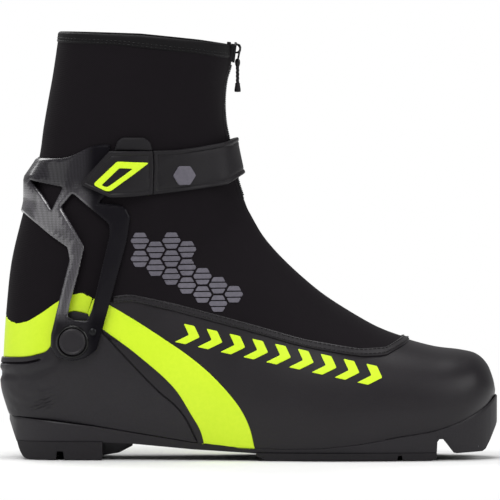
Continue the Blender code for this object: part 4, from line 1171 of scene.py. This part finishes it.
def build_pivots():
    """Pivot discs with their rings, and the rivets of the cuff's arms."""
    hub = abs(side_skin(*PIVOT)[0].y)

    def side(name, sign):
        centre, axis = (PIVOT[0], 0, PIVOT[1]), (0, sign, 0)
        disc = ((hub - 3.6, 0.05), (hub - 3.6, 2.9), (hub + 7.2, 2.9), (hub + 7.2, 7.8), (hub + 8.1, 7.9),
                (hub + 8.5, 7.8), (hub + 9.1, 7.1), (hub + 9.15, 6.9), (hub + 8.8, 6.3), (hub + 8.75, 5.4),
                (hub + 8.95, 3.0), (hub + 9.05, 0.05))
        made = round_part(f"pivot_disc_{name}", centre, axis, disc, FINISH["plastic"],
                          f"pivot_pin_{name}", "boot")
        ring = ((hub + 6.6, 8.25), (hub + 7.7, 8.25), (hub + 8.1, 8.6), (hub + 8.2, 9.1), (hub + 7.9, 9.6),
                (hub + 7.4, 9.9), (hub + 6.6, 9.9), (hub + 6.6, 8.25))
        made = hollow_ring(f"pivot_collar_{name}", centre, axis, ring, FINISH["jet"])
        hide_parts(f"pivot_ring_{name}")
        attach(made, "cuff")
        arm = abs(side_skin(20.4, 77.5)[0].y)
        rivet = ((arm + 3.6, 0.05), (arm + 3.6, 1.0), (arm + 6.6, 1.0), (arm + 6.6, 2.2), (arm + 7.1, 2.2),
                 (arm + 7.6, 1.5), (arm + 7.75, 0.7), (arm + 7.5, 0.05))
        made = round_part(f"rivet_{name}", (20.4, 0, 77.5), axis, rivet, FINISH["dark_metal"],
                          f"arm_rivet_{name}", "cuff")
    both(side)


def hollow_ring(name, centre, axis, profile, finish, sides=48):
    """A ring whose cross section is a closed profile of (distance along axis, radius)."""
    along = Vector(axis).normalized()
    across = along.orthogonal().normalized()
    third = along.cross(across)
    loop = profile[:-1]
    points = []
    for i in range(sides):
        turn = 2 * math.pi * i / sides
        way = across * math.cos(turn) + third * math.sin(turn)
        points += [tuple(Vector(centre) + along * step + way * radius) for step, radius in loop]
    faces = grid_faces(sides + 1, len(loop), True)
    faces = [tuple(i % (sides * len(loop)) for i in face) for face in faces]
    return mesh_object(name, points, faces, finish, 30)


def capsule(points, faces, start, end, out, radius):
    """Adds one stitch: a short round thread that dips at both ends."""
    start, end, out = Vector(start), Vector(end), Vector(out)
    along = (end - start).normalized()
    across = along.cross(out).normalized()
    first = len(points)
    for share, lift, size in ((0, -0.5, 0.35), (0.16, 0.15, 0.9), (0.5, 0.45, 1.0), (0.84, 0.15, 0.9),
                              (1, -0.5, 0.35)):
        middle = start.lerp(end, share) + out * lift * radius
        for i in range(6):
            turn = 2 * math.pi * i / 6
            points.append(tuple(middle + (across * math.cos(turn) + out * math.sin(turn)) * radius * size))
    faces += [tuple(first + i for i in face) for face in grid_faces(5, 6, True)]
    faces.append(tuple(range(first, first + 6)))
    faces.append(tuple(range(first + 24, first + 30)))


def stitches(name, lines, lift, body, length=2.1, pitch=3.0, radius=0.24, finish="thread"):
    """Stitches along lines of rows and columns, lift above the skin."""
    points, faces = [], []
    for line in lines:
        spots, out = on_skin(line)
        spots = spots + out * value(lift, spots, None)[:, None]
        run = np.concatenate([[0], np.cumsum(np.linalg.norm(np.diff(spots, axis=0), axis=1))])
        for start in np.arange(0.4, run[-1] - length, pitch):
            ends = [[np.interp(at, run, spots[:, k]) for k in range(3)] for at in (start, start + length)]
            way = [np.interp(start + length / 2, run, out[:, k]) for k in range(3)]
            capsule(points, faces, ends[0], ends[1], Vector(way).normalized(), radius)
    made = mesh_object(name, points, faces, FINISH[finish], 60)
    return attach(made, body) if body else made


def level_places(columns, level):
    """Rows and columns of a level line across some columns."""
    return np.array([(crossing(column, level), column) for column in columns])


def build_stitching():
    """The seams' threads: two rows on the seam band and two on the collar."""
    seam = UPPER_SEAM[1:]
    columns = [c for c in range(COLUMNS) if seam_x(c) > 31.5]
    fine = np.arange(min(columns), max(columns), 0.5)
    rows = []
    for shift in (-1.25, 1.25):
        line = level_places(columns, level_line(seam, shift))
        rows.append(np.stack([np.interp(fine, line[:, 1], line[:, 0]), fine], axis=1))
    stitches("seam_stitches", rows, 1.44, "boot", 2.1, 2.8, 0.3, "jet")
    reach = RIDGE - 6
    around = np.arange(-reach, reach + 1)
    low = level_places(around, level_line(COLLAR_LOW, 1.0))
    low2 = level_places(around, level_line(COLLAR_LOW, 2.6))
    stitches("collar_stitches", [low, low2], 1.42, "cuff", 2.0, 2.8, 0.2, "jet")


# ---------------------------------------------------------------- zip

RING_HINGE = (108.9, 247.3)
PULL_HINGE = (107.2, 238.9)


def height(z):
    return lambda x: np.zeros_like(x) + z


def plate(name, outline, origin, u, v, depth, bevel, finish, body, node=None):
    """A flat part with bevelled edges: outline in the directions u and v, depth along u x v."""
    origin, u, v = Vector(origin), Vector(u).normalized(), Vector(v).normalized()
    out = u.cross(v)
    count = len(outline)
    points = [tuple(origin + u * a + v * b + out * d) for d in (0, depth) for a, b in outline]
    faces = [tuple(range(count)), tuple(range(count, 2 * count))]
    faces += [(i, (i + 1) % count, count + (i + 1) % count, count + i) for i in range(count)]
    made = mesh_object(name, points, faces, finish, 50)
    edit = bmesh.new()
    edit.from_mesh(made.data)
    bmesh.ops.bevel(edit, geom=edit.edges, offset=bevel * MM, segments=3, profile=0.6, affect="EDGES")
    edit.to_mesh(made.data)
    edit.free()
    made.data.shade_smooth()
    made.data.set_sharp_from_angle(angle=math.radians(45))
    if node:
        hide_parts(node)
    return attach(made, body)


def ridge_line(low, high, step, lift):
    """Points up the front ridge with their directions out and along, from one height to another."""
    rows = np.linspace(crossing(RIDGE, height(low)), crossing(RIDGE, height(high)), 400)
    spots, out = on_skin(np.stack([rows, np.full(400, float(RIDGE))], axis=1))
    spots = spots + out * lift
    run = np.concatenate([[0], np.cumsum(np.linalg.norm(np.diff(spots, axis=0), axis=1))])
    places = []
    for at in np.arange(0, run[-1], step):
        spot = Vector([float(np.interp(at, run, spots[:, k])) for k in range(3)])
        way = Vector([float(np.interp(at, run, out[:, k])) for k in range(3)]).normalized()
        places.append((spot, way))
    return places


def build_zip():
    """Zip: tape, two rows of teeth, slider with its bridge, ring and braided cord."""
    low, high = crossing(RIDGE, height(150.5)), crossing(RIDGE, height(250.5))
    span = 4.4
    rows = np.linspace(low, high, 60)
    left = [(row, RIDGE - span) for row in rows]
    right = [(row, RIDGE + span) for row in rows[::-1]]
    tape = patch("zip_cloth", np.array([*left, *right]), -0.4, 1.05, FINISH["shell_fabric"], rim=0.4,
                 middle=RIDGE, spacing=1.5)
    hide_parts("zip_tape")
    bend(tape)
    points, faces = [], []
    for i, (spot, way) in enumerate(ridge_line(158, 237, 1.15, 1.25)):
        sign = 1 if i % 2 else -1
        capsule(points, faces, spot + Vector((0, 2.0 * sign, 0)), spot - Vector((0, 0.5 * sign, 0)), way, 0.62)
    for i, (spot, way) in enumerate(ridge_line(156, 249, 0.8, 1.0)):
        for sign in (-1, 1):
            shift = Vector((0, 3.1 * sign, 0))
            capsule(points, faces, spot + shift, spot + shift + Vector((0, 0.7 * sign, 0)), way, 0.32)
    teeth = mesh_object("zip_rows", points, faces, FINISH["dark_metal"], 60)
    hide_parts("zip_teeth")
    bend(teeth)

    base, tip = Vector((103.0, 0, 238.2)), Vector((104.5, 0, 250.6))
    along = (tip - base).normalized()
    shield = ((0, -3.0), (1.2, -3.6), (8.2, -4.5), (10.6, -4.3), (12.2, -2.6), (12.4, 0), (12.2, 2.6),
              (10.6, 4.3), (8.2, 4.5), (1.2, 3.6), (0, 3.0))
    plate("slider_face", shield, base + Vector((0.9, 0, 0)), along, (0, 1, 0), -1.5, 0.35,
          FINISH["dark_metal"], "slider", "zip_slider")
    out = along.cross(Vector((0, 1, 0)))
    for sign in (-1, 1):
        wall = ((0.6, 0), (11.4, 0), (11.4, 1.0), (0.6, 1.0))
        plate(f"slider_flange_{'lm'[sign > 0]}", wall,
              base + Vector((-1.1, 3.4 * sign - 0.0, 0)), along, (0, sign, 0), 0.0 + 2.0 * -sign, 0.25,
              FINISH["dark_metal"], "slider")
    bridge = ((0, 0), (0, 2.2), (1.2, 3.6), (3.6, 3.9), (5.4, 3.2), (6.0, 1.6), (6.0, 0), (4.9, 0),
              (4.7, 1.6), (3.4, 2.5), (2.0, 2.4), (1.1, 1.4), (1.0, 0))
    plate("slider_bridge", bridge, (105.6, 1.1, 243.6), (0, 0, 1), (1, 0, 0), -2.2, 0.25,
          FINISH["dark_metal"], "slider")
    points, faces = [], []
    torus(points, faces, RING_HINGE, PULL_HINGE, 0.62)
    ring = mesh_object("ring_wire", points, faces, FINISH["dark_metal"], 60)
    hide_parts("zip_ring")
    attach(ring, "ring")
    build_pull()


def torus(points, faces, top, bottom, radius, steps=36, sides=10):
    """A round wire through two hinge lines that run along Y."""
    centre = Vector(((top[0] + bottom[0]) / 2, 0, (top[1] + bottom[1]) / 2))
    up = Vector((top[0] - bottom[0], 0, top[1] - bottom[1])) / 2
    flat = up.cross(Vector((0, 1, 0))).normalized()
    for i in range(steps):
        turn = 2 * math.pi * i / steps
        out = up * math.cos(turn) + Vector((0, up.length, 0)) * math.sin(turn)
        for j in range(sides):
            roll = 2 * math.pi * j / sides
            points.append(tuple(centre + out * (1 + radius * math.cos(roll) / up.length)
                                + flat * radius * math.sin(roll)))
    faces += [tuple(i % (steps * sides) for i in face) for face in grid_faces(steps + 1, sides, True)]


def build_pull():
    """The cord through the ring: a loop, a twisted shaft and a moulded flared end."""
    sides, points = 18, []
    profile = ((-1.5, 0.1), (-1.5, 0.7), (-1.2, 1.15), (-0.3, 1.5), (1.0, 1.6), (2.2, 1.4), (3.2, 1.0))
    rings = list(profile)
    rings += [(3.2 + 0.5 * k, 0.95) for k in range(1, 20)]
    rings += [(13.0, 1.0), (13.2, 1.45), (14.4, 1.5), (16.6, 1.85), (18.0, 1.95), (18.5, 1.7), (18.6, 0.1)]
    for drop, radius in rings:
        braid = 0.16 if 3.2 < drop < 13.0 else 0.0
        for i in range(sides):
            turn = 2 * math.pi * i / sides
            size = radius * (1 + braid * math.sin(3 * turn + drop * 2.6))
            points.append((PULL_HINGE[0] + size * math.cos(turn), size * math.sin(turn), PULL_HINGE[1] - drop))
    faces = grid_faces(len(rings), sides, True)
    faces.append(tuple(range(sides)))
    faces.append(tuple(range((len(rings) - 1) * sides, len(rings) * sides)))
    made = mesh_object("pull_cord", points, faces, FINISH["webbing"], 60)
    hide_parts("zip_pull")
    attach(made, "pull")


# ---------------------------------------------------------------- inside

def build_liner():
    """The padded inner boot: a bag from the toe to the collar with soft rolls round its top."""
    start = 2 * SECTION_STEPS
    tops = np.array([crossing(c, level_line(COLLAR_LOW, -2.2)) for c in range(COLUMNS)])
    rows = ROWS
    share = np.linspace(0, 1, rows - start)
    places = np.array([[(start + (tops[c] - start) * s, c) for c in range(COLUMNS)] for s in share])
    shape = places.shape[:2]
    spots, _ = on_skin(places.reshape(-1, 2))
    spots = spots.reshape(*shape, 3)
    centre = spots.mean(axis=1, keepdims=True)
    way = spots - centre
    reach = np.linalg.norm(way, axis=2, keepdims=True)
    z = spots[:, :, 2:3]
    roll = 0.8 * np.abs(np.sin((z - 250) / 15.0 * math.pi)) ** 0.7 * ramp(z, 175, 195)
    seams = 0.5 * (np.abs(np.sin(np.arange(COLUMNS) / COLUMNS * 2 * math.pi * 4))[None, :, None] ** 0.3 - 0.6)
    puff = (roll + seams * ramp(z, 120, 150)) * ramp(-z, -247, -240)
    outer = centre + way * np.maximum(1 - 3.7 / reach, 0.1)
    inner = centre + way * np.maximum(1 - (6.4 + puff) / reach, 0.06)
    lip = (outer[-1] + inner[-1]) / 2 + [0, 0, 1.3]
    count = shape[0]
    solid = np.vstack([outer.reshape(-1, 3), lip, inner[::-1].reshape(-1, 3)])
    faces = grid_faces(2 * count + 1, COLUMNS, True)
    faces.append(tuple(range(COLUMNS)))
    faces.append(tuple(range(2 * count * COLUMNS, (2 * count + 1) * COLUMNS)))
    made = mesh_object("liner_bag", solid, faces, FINISH["lining"], 70)
    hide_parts("liner")
    bend(made)


def puffed(made, pinned, pressure=4.0, cap=2.0):
    """Puff a sewn pad between its pinned seams with a short cloth simulation."""
    scene = bpy.context.scene
    rest = [vertex.co.copy() for vertex in made.data.vertices]
    seams = made.vertex_groups.new(name="seams")
    seams.add([vertex.index for vertex in made.data.vertices if pinned(vertex)], 1.0, "REPLACE")
    cloth = made.modifiers.new("cloth", "CLOTH")
    cloth.settings.vertex_group_mass = seams.name
    cloth.settings.effector_weights.gravity = 0.0
    cloth.settings.use_pressure = True
    cloth.settings.uniform_pressure_force = pressure
    cloth.point_cache.frame_start, cloth.point_cache.frame_end = 1, 20
    for frame in range(1, 21):
        scene.frame_set(frame)
    shaped = made.evaluated_get(bpy.context.evaluated_depsgraph_get()).data
    places = [vertex.co.copy() for vertex in shaped.vertices]
    made.modifiers.remove(cloth)
    made.vertex_groups.remove(seams)
    for vertex, start, end in zip(made.data.vertices, rest, places):
        move = end - start
        vertex.co = start + move * min(1.0, cap * MM / max(move.length, 1e-9))
    scene.frame_set(1)


def quilt(z):
    """How full the tongue's quilting is at a height: nothing at a seam, all between two seams."""
    return np.abs(np.sin((z - 100) / 17.0 * math.pi)) ** 0.6


def build_tongue():
    """The padded tongue inside the liner's throat, with a stitched border and quilting."""
    def deep(points, edge):
        return -8.0 - 1.0 * quilt(points[:, 2]) * ramp(edge, 2.5, 6.0) - 0.8 * ramp(edge, 0, 2.0)
    rows = np.linspace(crossing(RIDGE, height(120)), crossing(RIDGE, height(241)), 60)
    width = np.interp(rows, (rows[0], rows[-1]), (8.0, 13.0))
    left = [(row, RIDGE - w) for row, w in zip(rows, width)]
    right = [(row, RIDGE + w) for row, w in zip(rows[::-1], width[::-1])]
    made = patch("tongue_pad", np.array([*left, *right]), deep, -7.0, FINISH["lining"], rim=0.8,
                 middle=RIDGE, spacing=1.6)

    def sewn(vertex):
        inward = Vector((0.04 - vertex.co.x, -vertex.co.y, 0)).normalized()
        return vertex.normal.dot(inward) < 0.6 or quilt(vertex.co.z / MM) < 0.35
    puffed(made, sewn)
    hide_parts("tongue")
    bend(made)


def build_insole():
    """The footbed: a thin foam sole with a raised heel and arch."""
    xs = [x for x in np.arange(-20, 228, 3.0)]
    across = np.linspace(-1, 1, 25)

    def low(x, y):
        return feather(x) + 7.2 + 2.2 * (abs(y) / 40) ** 2

    def high(x, y):
        return low(x, y) + 2.8

    def side(x, share):
        return 14.0 + 0.6 * (1 - share)
    made = slab_mesh("footbed", xs, across, low, high, side, FINISH["lining"], 40)
    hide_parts("insole")
    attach(made, "boot")


# ---------------------------------------------------------------- printed graphics

def raised_shapes(name, shapes, low, high, finish, spacing=1.0, rim=0.22):
    """Several flat shapes of the side view on both sides of the boot, each as one thin film."""
    def side(label, sign):
        points, faces = [], []
        for shape in shapes:
            solid, cells, _ = patch_mesh(trace(soften(shape, 0.35, 0.35), sign), low, high, rim, spacing=spacing)
            first = len(points)
            points += solid.tolist()
            faces += [tuple(i + first for i in face) for face in cells]
        points, faces = drop_unused(points, faces)
        made = mesh_object(f"{name}_{label}", points, faces, FINISH[finish], 40)
        if name == "shaft_graphic":
            bend(made)
        else:
            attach(made, "boot")
    both(side)


def drop_unused(points, faces):
    """Points and faces with the points that no face uses left out."""
    used = sorted({i for face in faces for i in face})
    index = {old: new for new, old in enumerate(used)}
    return [points[i] for i in used], [tuple(index[i] for i in face) for face in faces]


def build_graphics():
    """Plain graphics: a row of neon arrowheads on the vamp and a grey honeycomb on the shaft."""
    shapes = laid((69.5, 71.2), (128, -28.0), chevrons(9, 14.0, 6.6, 11.8, 6.0), 0.25)
    raised_shapes("side_graphic", shapes, 0.0, 0.45, "neon")

    def under(points, edge):
        return folds(points, edge) - 0.3

    def over(points, edge):
        return folds(points, edge) + 0.45
    raised_shapes("shaft_graphic", honeycomb(), under, over, "print")


def chevrons(count, pitch, thick, tall, reach):
    """Arrow-shaped strokes in a row, in the row's own directions."""
    return [[(i * pitch, 0), (i * pitch + thick, 0), (i * pitch + thick + reach, tall / 2),
             (i * pitch + thick, tall), (i * pitch, tall), (i * pitch + reach, tall / 2)]
            for i in range(count)]


def laid(origin, along, shapes, lean=0.0):
    """Shapes of a row's own directions laid in the side view, leaning forward."""
    along = np.array(along, float) / np.linalg.norm(along)
    up = np.array([-along[1], along[0]])
    return [[tuple(np.array(origin) + along * (a + lean * b) + up * b) for a, b in shape] for shape in shapes]


def honeycomb():
    """Three slanting rows of six-sided cells, each cut by level slits."""
    radius, tall = 5.6, 4.85
    first = np.array([48.5, 121.0])
    column_step, row_step = np.array([9.4, -5.43]), np.array([0.0, 10.86])
    shapes = []
    for row, columns in enumerate((range(6), range(7), range(2, 4))):
        for column in columns:
            middle = first + column * column_step + row * row_step
            for low, high in ((-tall, -2.1), (-1.45, 1.45), (2.1, tall)):
                shapes.append([tuple(middle + place) for place in slice_of_cell(radius, tall, low, high)])
    return shapes


def slice_of_cell(radius, tall, low, high):
    """The part of a six-sided cell between two heights."""
    def half(height):
        return radius * (1 - abs(height) / (2 * tall))
    right = [(half(low), low), *([(radius, 0.0)] if low < 0 < high else []), (half(high), high)]
    return right + [(-x, z) for x, z in reversed(right)]


def build_keeper():
    """The webbing loop on the shaft that the strap passes under."""
    outline = trace(soften(((33.5, 186), (35.5, 191.8), (38.2, 193.9), (51.2, 193.9), (54.6, 191.2), (56, 186)),
                           0.8), -1)
    for sign in (1, -1):
        side = outline * [1, sign]
        made = patch(f"strap_keeper_{'ml'[sign > 0]}", side, 0.2, 3.6, FINISH["webbing"], rim=1.1)
        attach(made, "cuff")


# ---------------------------------------------------------------- stage, light and camera

AMBIENT = 0.30


def white_floor():
    """A floor that takes the boot's shadow and fades to plain white away from it."""
    found, add, link, shader = nodes_of("floor")
    place = add("ShaderNodeTexCoord")
    length = add("ShaderNodeVectorMath", operation="DISTANCE")
    length.inputs[1].default_value = (0.11, 0, 0)
    link(place.outputs["Object"], length.inputs[0])
    fade = add("ShaderNodeMapRange", interpolation_type="SMOOTHSTEP")
    fade.inputs["From Min"].default_value = 0.12
    fade.inputs["From Max"].default_value = 0.45
    link(length.outputs["Value"], fade.inputs["Value"])
    grain = add("ShaderNodeTexNoise", in_Scale=30.0)
    link(place.outputs["Object"], grain.inputs["Vector"])
    tone = add("ShaderNodeMapRange")
    tone.inputs["To Min"].default_value = 0.86
    tone.inputs["To Max"].default_value = 0.90
    link(grain.outputs["Fac"], tone.inputs["Value"])
    link(tone.outputs["Result"], shader.inputs["Base Color"])
    shader.inputs["Roughness"].default_value = 0.7
    shader.inputs["Specular IOR Level"].default_value = 0.1
    glow = add("ShaderNodeEmission")
    mixed = add("ShaderNodeMixShader")
    link(fade.outputs["Result"], mixed.inputs[0])
    link(shader.outputs[0], mixed.inputs[1])
    link(glow.outputs[0], mixed.inputs[2])
    out = next(node for node in found.node_tree.nodes if node.bl_idname == "ShaderNodeOutputMaterial")
    link(mixed.outputs[0], out.inputs["Surface"])
    return found


def build_stage():
    """Pale floor and backdrop, soft lights and the camera."""
    mesh = bpy.data.meshes.new("floor")
    mesh.from_pydata([(-6, -6, -0.0004), (6, -6, -0.0004), (6, 6, -0.0004), (-6, 6, -0.0004)], [],
                     [(0, 1, 2, 3)])
    floor = bpy.data.objects.new("floor", mesh)
    bpy.context.scene.collection.objects.link(floor)
    mesh.materials.append(white_floor())
    world = bpy.data.worlds.new("studio")
    bpy.context.scene.world = world
    world.use_nodes = True
    tree = world.node_tree
    ray = tree.nodes.new("ShaderNodeLightPath")
    strength = tree.nodes.new("ShaderNodeMapRange")
    strength.inputs["To Min"].default_value = AMBIENT
    strength.inputs["To Max"].default_value = 1.0
    tree.links.new(ray.outputs["Is Camera Ray"], strength.inputs["Value"])
    background = tree.nodes["Background"]
    background.inputs["Color"].default_value = (1, 1, 1, 1)
    tree.links.new(strength.outputs["Result"], background.inputs["Strength"])
    for name, place, size, power in (
            ("key", (-0.35, -1.1, 1.3), 0.9, 14.0), ("front", (1.3, -0.7, 0.7), 0.8, 6.0),
            ("back", (-0.6, 1.2, 1.2), 1.0, 12.0), ("top", (0.15, 0.0, 1.5), 0.7, 10.0),
            ("heel", (-1.2, -0.3, 0.16), 0.9, 2.4)):
        light = bpy.data.lights.new(name, "AREA")
        light.energy = power
        light.size = size
        made = bpy.data.objects.new(name, light)
        made.location = place
        made.rotation_euler = (Vector((0.11, 0, 0.12)) - Vector(place)).to_track_quat("-Z", "Y").to_euler()
        bpy.context.scene.collection.objects.link(made)
    camera = bpy.data.cameras.new("camera")
    camera.sensor_width = 36.0
    camera.lens = 716.0
    camera.clip_start = 0.05
    made = bpy.data.objects.new("camera", camera)
    target = Vector((0.1147, 0, 0.1250))
    rise = math.radians(2.0)
    made.location = target + Vector((0, -6.0 * math.cos(rise), 6.0 * math.sin(rise)))
    made.rotation_euler = (target - made.location).to_track_quat("-Z", "Y").to_euler()
    bpy.context.scene.collection.objects.link(made)
    bpy.context.scene.camera = made
    bpy.context.scene.view_settings.view_transform = "Standard"


def finish_cad():
    """A procedural finish for every CAD node that stays in the model."""
    for name, node in frame["nodes"].items():
        node.data.materials.clear()
        node.data.materials.append(finish_node(name))


finish_cad()
build_vamp()
build_softshell()
build_collar()
build_piping()
build_stripes()
build_heel_panel()
build_counter()
build_cuff()
build_strap()
build_sole()
build_pivots()
build_zip()
build_keeper()
build_liner()
build_tongue()
build_insole()
build_graphics()
build_stitching()
build_stage()
